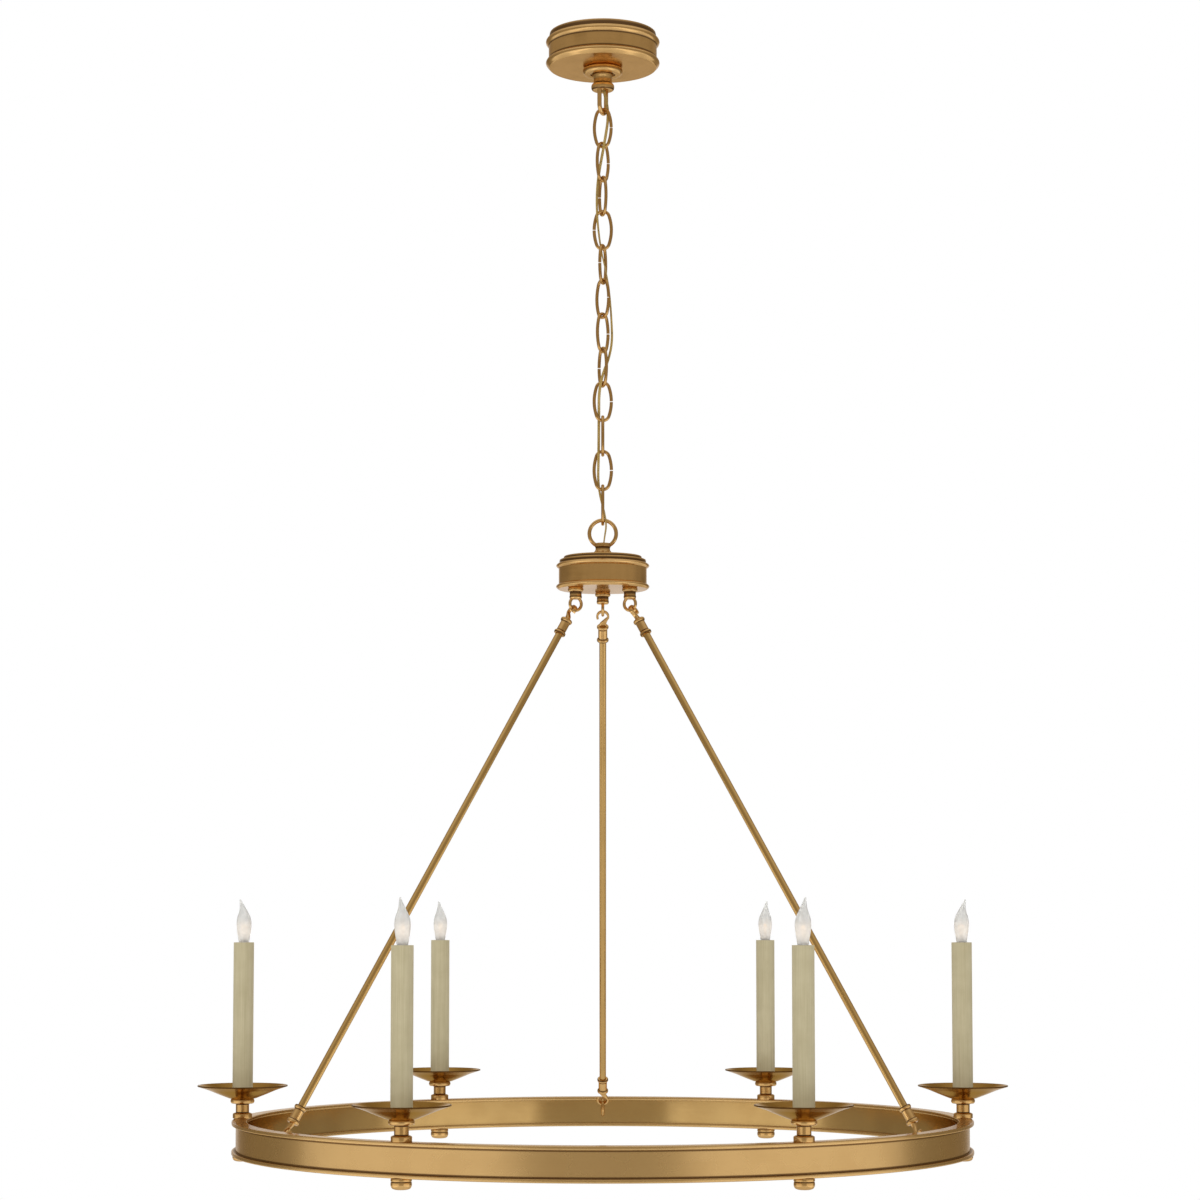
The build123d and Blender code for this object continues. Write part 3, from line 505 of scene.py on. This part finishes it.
# Canopy, collar and the loop under them
canopy_outline = rounded(
    [(60.5, 0.0, 0.3), (61.5, -5.5, 0.2)] + bulged((61.6, -5.6), (61.6, -14.4), 3.2)
    + bulged((61.6, -29.6), (61.6, -38.6), 3.2) + [(60.9, -39.5, 0.6), (14.1, -39.5, 0.3), (14.1, -38.3, 0.3)]
    + [(60.0, -38.3, 1.0), (60.3, -6.0, 0.5), (59.3, 0.0, 0.2)])
build("canopy_shell", [turned(canopy_outline, turns=160, reach=0.75)], turned_brass, "canopy_cover",
      ["canopy"])
collar_outline = rounded([
    (14.1, -39.5), (20.5, -39.5, 0.3), (22.5, -41.5, 0.9), (22.5, -45.2, 1.2), (20.6, -47.5, 0.9), (14.1, -47.5, 0.4)])
build("canopy_collar_ring", [turned(collar_outline, turns=96, reach=0.6)], turned_brass, "canopy_cover",
      ["canopy_collar"])
loop_outline = rounded([
    (3.25, -66.0, 0.3), (11.6, -66.0, 1.4), (13.15, -63.6, 1.6), (13.15, -60.2, 1.4), (11.8, -58.0, 0.9),
    (10.4, -57.4, 0.9), (10.2, -52.0, 1.2), (11.5, -48.6, 1.2), (11.5, -46.5, 0.2), (13.8, -46.5, 0.4),
    (13.8, -31.0, 0.4), (4.85, -31.0, 0.2), (4.85, -44.0, 0.2), (3.25, -44.0, 0.2)])
bail_path = np.vstack([[(9.5, -63.5)], arc((0, -82.5), 9.5, 0, -180, 40), [(-9.5, -63.5)]])
bail_path = np.insert(bail_path, 1, 0, axis=1)
bail = moved(carried(bail_path, (0, 1, 0), circle_section(BAIL_WIRE, 20)), yaw=BAIL_YAW)
build("canopy_loop_turned", [turned(loop_outline, turns=80), bail], turned_brass, "ceiling_mount",
      ["canopy_loop"])


def link_path():
    """Oval link as tangent arcs: two ends of one radius and two long sides of another, split half way up."""
    end, half_width, half_span, split = 7.4, 9.75, LINK_SPAN / 2, 0.6
    side = (half_width ** 2 + half_span ** 2 - 2 * half_span * end) / (2 * (half_width - end))
    rise, across = half_span - end, side - half_width
    turn = math.degrees(math.atan2(rise, across))
    gap = math.degrees(split / side)
    runs = [arc((-across, 0), side, gap, turn), arc((0, rise), end, turn, 180 - turn),
            arc((across, 0), side, 180 - turn, 180 + turn, 40), arc((0, -rise), end, 180 + turn, 360 - turn),
            arc((-across, 0), side, -turn, -gap)]
    line = np.vstack([run if number == 0 else run[1:] for number, run in enumerate(runs)])
    return np.insert(line, 1, 0, axis=1)


for number, yaw in enumerate(LINK_YAWS, 1):
    middle = LINK_FIRST_TOP - (number - 1) * LINK_PITCH - LINK_SPAN / 2
    shape = moved(carried(link_path(), (0, 1, 0), circle_section(LINK_WIRE, 18)), (0, 0, middle), yaw)
    build(f"chain_link_wire_{number:02d}", [shape], wire_brass, f"link_{number:02d}",
          [f"chain_link_{number:02d}"])

# Lamp cord: its own spline along the route, then a flat twin lead in short pieces cut at each link
CORD_ROUTE = [
    (0.0, 0.0, 0.0), (0.4, 0.2, -33.0), (0.0, 0.1, -63.0), (7.4, 3.8, -89.7), (1.9, -6.8, -128.6),
    (-6.0, 3.0, -168.0), (-7.2, -6.8, -207.2), (-2.6, 8.0, -246.6), (6.4, 1.0, -285.8), (9.8, 0.0, -325.2),
    (11.0, -1.4, -364.4), (-4.2, -8.2, -403.8), (-4.4, 7.0, -443.0), (-4.6, -7.5, -482.4), (-5.6, 7.6, -521.6),
    (4.9, -4.6, -560.8), (1.7, -8.3, -580.5), (0.0, -0.4, -596.5), (0.1, 0.3, -612.0)]
ABOVE_CORD, BELOW_CORD = 1.0, -700.0
CORD_FIRST_BEND, CORD_LAST_BEND = -84.0, -575.0


def spline_points(route, resolution=24):
    """Points read from a NURBS spline of order 3 whose control points are the route."""
    data = bpy.data.curves.new("cord_line", "CURVE")
    data.dimensions = "3D"
    spline = data.splines.new("NURBS")
    spline.points.add(len(route) - 1)
    for point, (x, y, z) in zip(spline.points, route):
        point.co = (x * MM, y * MM, z * MM, 1.0)
    spline.order_u = 3
    spline.use_endpoint_u = True
    spline.resolution_u = resolution
    holder = bpy.data.objects.new("cord_line", data)
    bpy.context.scene.collection.objects.link(holder)
    mesh = bpy.data.meshes.new_from_object(holder)
    line = np.zeros(len(mesh.vertices) * 3)
    mesh.vertices.foreach_get("co", line)
    bpy.data.meshes.remove(mesh)
    bpy.data.objects.remove(holder)
    bpy.data.curves.remove(data)
    return line.reshape(-1, 3) / MM


def twin_section(count=24):
    """Flat twin lead 3.2 by 1.8 with a waist between its two conductors: x = 1.6 cos a and, with the sign of sin a,
    y = 0.9 |sin a|^0.75 w, where w is 0.62 + 0.55 |cos a|^0.8 but 1 at most."""
    angle = np.linspace(0, 2 * math.pi, count, endpoint=False)
    c, s = np.cos(angle), np.sin(angle)
    waist = 0.62 + 0.55 * np.abs(c) ** 0.8
    return np.stack([1.6 * c, 0.9 * np.sign(s) * np.abs(s) ** 0.75 * np.minimum(waist, 1.0)], -1)


cord_line = spline_points(CORD_ROUTE)
cord_turn = np.radians(25 + 0.55 * steps_along(cord_line))
cord_flat = np.stack([np.cos(cord_turn), np.sin(cord_turn), 0 * cord_turn], -1)
link_middles = [LINK_FIRST_TOP - index * LINK_PITCH - LINK_SPAN / 2 for index in range(len(LINK_YAWS))]
cord_cuts = [ABOVE_CORD] + link_middles + [BELOW_CORD]
cord_bodies = ["ceiling_mount"] + [f"link_{number:02d}" for number in range(1, len(LINK_YAWS) + 1)] + ["hub"]
for index, (upper, lower) in enumerate(zip(cord_cuts, cord_cuts[1:])):
    inside = np.where((cord_line[:, 2] <= upper) & (cord_line[:, 2] > lower))[0]
    rows = np.arange(inside[0], min(inside[-1] + 2, len(cord_line)))
    start = max(rows[0] - 1, 0)
    rows = np.arange(start, rows[-1] + 1)
    lead = carried(cord_line[rows], cord_flat[rows], twin_section())
    piece = build(f"lamp_cord_{index + 1:02d}", [lead], cord_gold, None, ride=False)
    if index == 0:
        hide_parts("lamp_cord")
    high = CORD_FIRST_BEND if index == 0 else upper
    low = CORD_LAST_BEND if index == len(LINK_YAWS) else lower
    cord_bodies[index + 1]
    high * MM
    low * MM
    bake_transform(piece)

# Hub: ring on its turned neck, stepped cap, band and base plate
neck_outline = rounded([
    (4.85, -594.4, 0.2), (4.85, -599.9, 0.2), (13.15, -599.9, 0.3), (13.15, -597.4, 0.8), (10.6, -595.4, 1.4),
    (8.2, -592.6, 1.2), (8.2, -589.5, 0.3), (8.95, -589.2, 0.9), (8.95, -584.8, 1.2), (6.0, -584.5, 0.8),
    (2.1, -584.5, 0.4), (2.1, -588.0, 0.4), (2.1, -594.4, 0.2)])
ring_line = np.insert(arc((0, -573.75), 15.1, 0, 360, 97)[:-1], 1, 0, axis=1)
hub_ring = carried(ring_line, (0, 1, 0), circle_section(HUB_RING_WIRE, 20), True)
build("hub_loop_turned", [turned(neck_outline, turns=72), hub_ring], turned_brass, "hub", ["hub_loop"])
cap_outline = rounded(
    [(4.85, -599.9, 0.2), (44.0, -599.9, 0.9), (44.0, -603.6, 0.3), (48.75, -603.6, 1.0), (48.75, -607.6, 0.3)]
    + bulged((49.8, -607.6), (49.8, -613.1), 2.6) + [(48.0, -613.1, 0.2), (48.0, -611.9, 0.3), (42.5, -605.1, 0.6),
                                                    (42.5, -601.4, 0.5), (4.85, -601.4, 0.2)])
build("hub_cap_turned", [turned(cap_outline, turns=160, reach=0.65)], turned_brass, "hub",
      ["hub_top_cap"])
band_outline = rounded([(48.0, -613.1), (49.5, -613.1, 0.2), (49.5, -631.0, 0.2), (48.0, -631.0)])
build("hub_band_turned", [turned(band_outline, turns=160)], turned_brass, "hub", ["hub_band"])
plate_outline = rounded(
    [(4.85, -631.0, 0.2)] + bulged((49.8, -631.0), (49.8, -636.9), 2.7, 11)
    + [(0.01, -636.9), (0.01, -635.4), (4.85, -635.4, 0.2)])
build("hub_plate_turned", [turned(plate_outline, turns=160, reach=0.75)], turned_brass, "hub",
      ["hub_base_plate"])
finial_outline = rounded([
    (0.01, -636.9), (8.0, -636.9, 0.5), (8.7, -638.0, 0.6), (8.7, -640.3, 0.7), (7.6, -641.4, 0.5), (6.7, -641.6, 0.3),
    (6.7, -646.2, 0.8), (7.0, -646.9, 0.4), (7.0, -648.2, 0.5), (6.1, -650.1, 1.0), (0.01, -650.1)])
stud_outline = rounded([(0.01, -632.2), (2.5, -632.2, 0.4), (2.5, -637.4), (0.01, -637.4)])
eye_line = np.insert(arc((0, -655.1), EYE_RADIUS, 0, 360, 73)[:-1], 1, 0, axis=1)
hub_eyes = []
for azimuth in ROD_AZIMUTHS.values():
    for shape in (turned(finial_outline, turns=48), turned(stud_outline, turns=24),
                  carried(eye_line, (0, 1, 0), circle_section(EYE_WIRE, 18), True)):
        hub_eyes.append(moved(shape, (35.0, 0, 0), azimuth))
build("hub_eyes_turned", hub_eyes, turned_brass, "hub", ["hub_eyes"])

# Rods: each lies along the line between its two pivots
HUB_PIVOT, RING_PIVOT = (38.743, -661.309), (382.407, -1231.291)
rod_run, rod_drop = RING_PIVOT[0] - HUB_PIVOT[0], HUB_PIVOT[1] - RING_PIVOT[1]
ROD_SPAN = math.hypot(rod_run, rod_drop)
rod_lean = math.atan2(rod_run, rod_drop)
FITTING_LENGTH, SOCKET_DEPTH = 20.0, 16.0


def hook_shape(play):
    """Flat hook in the XZ plane about its eye's wire at the origin: a rounded bar whose width narrows from its root
    on the fitting to the open curl, carried along the middle line; returns it with the height of its root."""
    outer, inner, width = 7.5, 4.9, 4.3
    centre = -(inner - EYE_WIRE - play)
    root = centre - 11.3
    middle = (outer + inner) / 2
    curl = arc((0, centre), middle, -14, 206, 44)
    lead = smooth_through([(0.2, root - 0.6), (0.5, root + 1.6), (2.6, root + 5.6), tuple(curl[0])], 6)[:-1]
    line = np.insert(np.vstack([lead, curl]), 1, 0, axis=1)
    spread = np.interp(steps_along(line), [0, 2.0, 6.5, 11.5, 34.0, 40.0], [9.3, 8.2, 4.6, 2.6, 2.6, 2.2])
    thick = np.interp(steps_along(line), [0, 6.0, 36.0, 41.0], [width, width, width, width * 0.8])
    return carried(line, (0, 1, 0), slab_section(spread, thick, 4.0)), root


def fitting_outline(root):
    """Socketed fitting between two rounded flanges, bored for the rod."""
    foot = root - FITTING_LENGTH
    return rounded([
        (4.05, foot, 0.3), (6.2, foot, 0.7), (6.7, foot + 1.0, 0.6), (6.7, foot + 3.0, 0.7), (5.6, foot + 4.0, 0.5),
        (5.25, foot + 4.8, 0.6), (5.25, root - 4.8, 0.6), (5.6, root - 4.0, 0.5), (6.7, root - 3.0, 0.7),
        (6.7, root - 1.0, 0.6), (6.0, root, 0.6), (0.01, root), (0.01, foot + SOCKET_DEPTH),
        (4.05, foot + SOCKET_DEPTH, 0.2)])


down = (math.sin(rod_lean), 0.0, -math.cos(rod_lean))
away = tuple(-value for value in down)
across = (0.0, -1.0, 0.0)
for side, azimuth in ROD_AZIMUTHS.items():
    ends = []
    for pivot, axis, play in ((HUB_PIVOT, away, HUB_HOOK_PLAY), (RING_PIVOT, down, RING_HOOK_PLAY)):
        hook, root = hook_shape(play)
        basis = [across, tuple(np.cross(axis, across)), axis]
        for shape in (hook, turned(fitting_outline(root), turns=56)):
            ends.append(moved(shape, (pivot[0], 0, pivot[1]), azimuth, basis))
        if axis == away:
            top_end = root - FITTING_LENGTH + SOCKET_DEPTH
            top_basis = basis
        else:
            length = ROD_SPAN + top_end + root - FITTING_LENGTH + SOCKET_DEPTH
    build(f"rod_hooks_{side}_turned", ends, turned_brass, f"rod_{side}", [f"rod_hooks_{side}"])
    heights = np.linspace(top_end, top_end - length, 40)
    tube_outline = np.vstack([[(3.0, top_end)], [(4.0, z) for z in heights], [(3.0, top_end - length)]])
    pipe = moved(turned(tube_outline, turns=40), (HUB_PIVOT[0], 0, HUB_PIVOT[1]), azimuth, top_basis)
    build(f"rod_tube_{side}_drawn", [pipe], rod_brass, f"rod_{side}", [f"rod_tube_{side}"])

# Ring: channel with two nosed rims, plain inner band, and the three long eyes
channel_outline = rounded([
    (408.9, -1227.0, 1.2), (408.9, -1231.0, 1.2), (404.3, -1231.0, 0.5), (404.3, -1259.0, 0.5), (408.9, -1259.0, 1.2),
    (408.9, -1263.0, 1.2), (392.3, -1263.0, 1.2), (392.3, -1259.0, 1.2), (403.1, -1259.0, 0.3), (403.1, -1231.0, 0.3),
    (392.3, -1231.0, 1.2), (392.3, -1227.0, 1.2)])
build("ring_channel_rolled", [turned(channel_outline, turns=360, reach=1.0)], ring_brass, "ring",
      ["ring_channel"])
inner_outline = rounded([(396.4, -1231.0), (396.4, -1259.0), (395.2, -1259.0), (395.2, -1231.0)])
inner_outline = np.vstack([np.linspace(a, b, 6, endpoint=False)
                           for a, b in zip(inner_outline, np.roll(inner_outline, -1, 0))])
build("ring_band_rolled", [turned(inner_outline, turns=360, reach=0.9)], inner_brass, "ring",
      ["ring_inner_band"])
long_eye = np.vstack([arc((0, -1237.5), EYE_RADIUS, 0, 180, 30), arc((0, -1241.5), EYE_RADIUS, 180, 360, 30)])
long_eye = np.insert(long_eye, 1, 0, axis=1)
shank = np.array([[x, 0, -1239.5] for x in np.linspace(EYE_RADIUS, 11.3, 8)])
ring_eyes = []
for azimuth in ROD_AZIMUTHS.values():
    for shape in (carried(long_eye, (0, 1, 0), circle_section(EYE_WIRE, 18), True),
                  carried(shank, (0, 1, 0), circle_section(EYE_WIRE, 18))):
        ring_eyes.append(moved(shape, (386.15, 0, 0), azimuth))
build("ring_eyes_bent", ring_eyes, wire_brass, "ring", ["ring_eyes"])


def around(shapes):
    """Copies of the shapes at each candle's place."""
    return [moved(shape, (CANDLE_CIRCLE, 0, 0), 60.0 * number) for number in range(CANDLES) for shape in shapes]


column_outline = rounded([
    (3.05, -1227.0), (10.65, -1227.0, 0.3), (10.65, -1221.8, 0.9), (9.0, -1221.0, 0.5), (7.35, -1220.6, 0.5),
    (7.35, -1211.4, 0.5), (9.4, -1210.9, 0.4), (12.2, -1210.6, 0.8), (13.2, -1208.9, 0.7), (13.2, -1206.6, 0.7),
    (12.2, -1205.1, 0.6), (3.05, -1205.1)])
build("candle_columns_turned", around([turned(column_outline, turns=56)]), turned_brass, "ring",
      ["candle_columns"])
nut_outline = rounded([
    (3.05, -1263.0), (10.2, -1263.0, 0.4), (10.65, -1263.9, 0.4), (10.65, -1265.7, 0.4), (9.95, -1266.5, 0.3),
    (10.65, -1267.3, 0.4), (10.65, -1270.5, 1.2), (9.3, -1273.3, 1.4), (6.0, -1274.4, 1.2), (0.01, -1274.4),
    (0.01, -1269.5), (3.05, -1269.5, 0.2)])
build("cap_nuts_turned", around([turned(nut_outline, turns=56)]), turned_brass, "ring", ["cap_nuts"])
dish_outline = rounded([
    (3.05, -1205.1), (14.5, -1205.1, 1.2), (26.0, -1200.6, 3.0), (38.0, -1195.6, 3.0), (48.6, -1192.2, 0.6),
    (49.7, -1191.9, 0.5), (49.95, -1191.0, 0.4), (49.4, -1190.4, 0.4), (48.4, -1190.5, 0.5), (37.6, -1194.6, 3.0),
    (25.6, -1199.6, 3.0), (14.2, -1204.1, 1.2), (3.05, -1204.1)])
sleeve_outline = np.vstack([
    [(10.3, -1204.1)], [(11.2, -1204.1)], [(11.25, z) for z in np.linspace(-1204.0, -1033.0, 24)],
    rounded([(11.25, -1032.8), (11.25, -1032.5, 0.2), (10.25, -1032.5, 0.2), (10.25, -1032.9)]),
    [(10.25, z) for z in np.linspace(-1033.2, -1204.0, 12)]])
glass_rows = smooth_through([
    (5.4, -1033.0, 0.0), (6.1, -1030.0, 0.0), (6.6, -1026.0, 0.0), (7.7, -1019.5, 0.0), (8.3, -1012.5, 0.0),
    (7.5, -1005.5, 0.2), (5.3, -999.5, 0.63), (3.5, -994.8, 1.5), (2.3, -990.8, 2.7), (1.4, -987.3, 3.8),
    (0.8, -984.9, 4.45), (0.02, -984.7, 4.5)], 5)


def bent_shell(rows, wall=0.6, turns=48):
    """Bent glass: at height z the circle of radius r about (shift, 0), outside and then again a wall further in."""
    outside = rows
    inside = rows[::-1].copy()
    inside[:, 0] = np.maximum(inside[:, 0] - wall, 0.02)
    inside[:, 1] = np.minimum(inside[:, 1], rows[-1, 1] - 1.2)
    both = np.vstack([outside, inside, outside[:1]])
    points, grain = turned(both[:, :2], closed=False, turns=turns)
    points[:, :, 0] += both[:, 2][:, None]
    return points, grain


def screw_shell(radius=5.95, low=-1048.0, high=-1033.0, pitch=2.4, depth=0.45, turns=40):
    """Rolled thread of the bulb's base: r = radius - depth (1 - cos(2 pi z / pitch - a)) / 2, plain at its ends."""
    z = np.linspace(low, high, 70)[:, None]
    angle = np.linspace(0, 2 * math.pi, turns, endpoint=False)[None, :]
    ease = np.clip((z - low) / 1.5, 0, 1) * np.clip((high - 1.0 - z) / 2.0, 0, 1)
    r = radius - ease * depth * (1 - np.cos(2 * math.pi * z / pitch - angle)) / 2
    r[0], r[-1] = 0.0, 0.0
    points = np.stack([r * np.cos(angle), r * np.sin(angle), z + 0 * angle], -1)
    points[0, :, 2], points[-1, :, 2] = low, high
    flat = 0 * angle * z
    return points, np.stack([r * np.cos(angle), r * np.sin(angle), z + flat, flat], -1)


contact_outline = rounded([(0.01, -1050.0), (2.2, -1050.0, 0.6), (2.5, -1048.0, 0.2), (0.01, -1047.6)])
stem_outline = rounded([
    (0.01, -1033.5), (3.6, -1033.5, 0.4), (3.0, -1030.5, 1.0), (1.5, -1027.0, 1.2), (1.2, -1022.0, 0.5),
    (0.01, -1021.4)])
COIL_TURNS, COIL_STEPS, COIL_HALF_LENGTH, COIL_RADIUS = 7, 170, 3.2, 0.75
COIL_WIRE, LEAD_WIRE = 0.16, 0.2
coil_turn = np.linspace(0, 2 * math.pi * COIL_TURNS, COIL_STEPS)
coil_x = np.linspace(-COIL_HALF_LENGTH, COIL_HALF_LENGTH, COIL_STEPS)
coil_sag = -1013.5 - 0.06 * coil_x ** 2 * 4
coil = np.stack([coil_x, COIL_RADIUS * np.cos(coil_turn), coil_sag + COIL_RADIUS * np.sin(coil_turn)], -1)
left_wire = smooth_through([(-0.8, 0, -1023.0), (-1.6, 0, -1019.5), (-3.0, 0, -1016.4), (-3.2, 0.5, -1015.6)], 6)
for number in range(CANDLES):
    seat, yaw, label = (CANDLE_CIRCLE, 0, 0), 60.0 * number, number + 1
    # The dish rims carry a larger share of painted edge shade, in place of their dark reflected rim line
    dish = turned(dish_outline, turns=120, reach=0.7, edge_shade_share=DISH_EDGE_PAINTED_SHADE)
    build(f"bobeche_{label}_spun", [moved(dish, seat, yaw)], dish_brass, "ring", [f"bobeche_{label}"])
    build(f"candle_sleeve_{label}_card", [moved(turned(sleeve_outline, turns=64), seat, yaw)], card, "ring",
          [f"candle_sleeve_{label}"])
    body = f"bulb_body_{label}"
    build(f"bulb_{label}_glass", [moved(bent_shell(glass_rows), seat, yaw)], glass, body,
          [f"bulb_{label}"])
    base = [moved(shape, seat, yaw) for shape in (screw_shell(), turned(contact_outline, turns=24))]
    build(f"bulb_{label}_base", base, turned_brass, body)
    build(f"bulb_{label}_stem", [moved(turned(stem_outline, turns=24), seat, yaw)], glass, body)
    lit = [carried(coil, (0.0, 0.3, 1.0), circle_section(COIL_WIRE, 6)),
           carried(left_wire, (0, 1, 0), circle_section(LEAD_WIRE, 6)),
           carried(left_wire * (-1, -1, 1), (0, 1, 0), circle_section(LEAD_WIRE, 6))]
    build(f"bulb_{label}_coil", [moved(shape, seat, yaw) for shape in lit], glow_warm, body)


# Studio: white for the camera and through the glass. Mirror rays find a dimmer and warmer room instead of that
# white, bright only straight behind the object and overhead, and all other rays find one even light.
ROOM_LIGHT, BACKDROP_LIGHT, OVERHEAD_LIGHT, FRONT_SHADE = 0.41, 0.42, 0.35, 0.11
WHITE, WARM_ROOM = (1.0, 1.0, 1.0, 1.0), (0.98, 0.88, 0.72, 1.0)
world = bpy.data.worlds.new("studio")
bpy.context.scene.world = world
world.use_nodes = True
sky = Paint(world.node_tree)
direction = sky.node("ShaderNodeTexCoord", out=0)
split = sky.node("ShaderNodeSeparateXYZ", None, {0: direction})
y, z = (Socket(sky, split.link.node.outputs[index]) for index in (1, 2))
rays = sky.node("ShaderNodeLightPath").link.node.outputs
seen = Socket(sky, rays["Is Camera Ray"]).larger(Socket(sky, rays["Is Transmission Ray"]))
mirrored = Socket(sky, rays["Is Glossy Ray"])
front = 0 - y
backdrop = front.fade(-0.9, -0.97) * z.fade(-0.34, -0.12)
overhead = z.fade(0.45, 0.8)
shade = front.fade(0.1, -0.3) * front.fade(-0.95, -0.85) * z.fade(0.3, 0.1)
streaks = sky.noise(sky.stretched(direction, (7.0, 7.0, 1.6)), detail=2.0)
studio = backdrop * BACKDROP_LIGHT + overhead * OVERHEAD_LIGHT - shade * FRONT_SHADE + ROOM_LIGHT
studio = studio * (streaks * 0.5 + 0.75)
dim = 1 - backdrop.larger(overhead)
strength = seen + (1 - seen) * (mirrored * studio + (1 - mirrored) * DIFFUSE_WORLD)
tint = sky.mix(mirrored * dim * (1 - seen), WHITE, WARM_ROOM)
sky.node("ShaderNodeOutputWorld", None, {"Surface": sky.node("ShaderNodeBackground", None, {
    "Color": tint, "Strength": strength})})


def lamp(name, place, aim, size, watts, as_card=False):
    """Soft lamp at a place, turned to its aim: a light that no metal mirrors, or a card that only mirrors show."""
    data = bpy.data.lights.new(name, "AREA")
    data.shape = "RECTANGLE"
    data.size, data.size_y = size
    data.energy = watts
    made = bpy.data.objects.new(name, data)
    bpy.context.scene.collection.objects.link(made)
    made.location = place
    line = np.array(place, float) - np.array(aim, float)
    made.rotation_euler = (math.atan2(math.hypot(line[0], line[1]), line[2]), 0,
                           math.atan2(line[1], line[0]) + math.pi / 2)
    made.visible_glossy, made.visible_diffuse = as_card, not as_card
    made.visible_camera = False


OBJECT_MIDDLE = (0, 0, -0.9)
CARD_OUT, CARD_MIDDLE, CARD_SIZE, CARD_WATTS = 1.35, (0, -1.55, -1.62), (3.1, 1.1), 5.5
lamp("key", (-2.2, -2.6, 0.6), OBJECT_MIDDLE, (1.0, 1.0), 32)
lamp("fill", (2.6, -2.2, -0.4), OBJECT_MIDDLE, (1.4, 1.4), 15)
lamp("top", (0.3, 0.4, 1.6), OBJECT_MIDDLE, (1.6, 1.6), 18)
for card_name, card_side in (("card_left", -1), ("card_right", 1)):
    lamp(card_name, (card_side * CARD_OUT, *CARD_MIDDLE[1:]), CARD_MIDDLE, CARD_SIZE, CARD_WATTS, as_card=True)

# Floor: a pale disc that turns to the background's white with distance, and everywhere for rays through the glass
FLOOR_HEIGHT, FLOOR_RADIUS, FLOOR_FADE = -2.4, 6, (2.2, 5.2)
floor_angle = np.linspace(0, 2 * math.pi, 96, endpoint=False)
floor_rings = np.arange(FLOOR_RADIUS + 1.0)[:, None]
floor_points = np.stack([floor_rings * np.cos(floor_angle), floor_rings * np.sin(floor_angle),
                         FLOOR_HEIGHT + 0 * floor_rings * floor_angle], -1) / MM
floor_finish, floor_paint = material("studio_floor")
floor_rays = floor_paint.node("ShaderNodeLightPath").link.node.outputs
distance = floor_paint.node("ShaderNodeVectorMath", {"operation": "LENGTH"}, {
    0: floor_paint.stretched(floor_paint.place(), (1.0, 1.0, 0.0))}, out=1)
to_white = Socket(floor_paint, floor_rays["Is Transmission Ray"]).larger(distance.fade(*FLOOR_FADE))
finish_material(floor_paint, floor_paint.node("ShaderNodeMixShader", None, {
    0: to_white,
    1: floor_paint.node("ShaderNodeBsdfDiffuse", None, {"Color": (0.93, 0.93, 0.92, 1.0)}),
    2: floor_paint.node("ShaderNodeEmission", None, {"Color": WHITE})}))
floor_mesh = bpy.data.meshes.new("studio_floor")
rows, columns = floor_points.shape[:2]
index = np.arange(rows * columns).reshape(rows, columns)
right = np.roll(index, -1, 1)
floor_mesh.from_pydata((floor_points.reshape(-1, 3) * MM).tolist(), [],
                       np.stack([index[1:], right[1:], right[:-1], index[:-1]], -1).reshape(-1, 4).tolist())
floor_mesh.materials.append(floor_finish)
floor = bpy.data.objects.new("studio_floor", floor_mesh)
bpy.context.scene.collection.objects.link(floor)
floor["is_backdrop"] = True

# Camera: low and close to level, with a little of the photograph's upward shift
CAMERA_PLACE, CAMERA_TILT, CAMERA_LENS, CAMERA_SHIFT = (0.0, -3.317, -1.0057), 94.286, 88.96, (-0.0023, 0.08)
camera_data = bpy.data.cameras.new("camera")
camera_data.sensor_width = 36.0
camera_data.lens = CAMERA_LENS
camera_data.shift_x, camera_data.shift_y = CAMERA_SHIFT
camera = bpy.data.objects.new("camera", camera_data)
bpy.context.scene.collection.objects.link(camera)
camera.location = CAMERA_PLACE
camera.rotation_euler = (math.radians(CAMERA_TILT), 0, 0)
bpy.context.scene.camera = camera
bpy.context.scene.view_settings.view_transform = "Standard"

low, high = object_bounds()
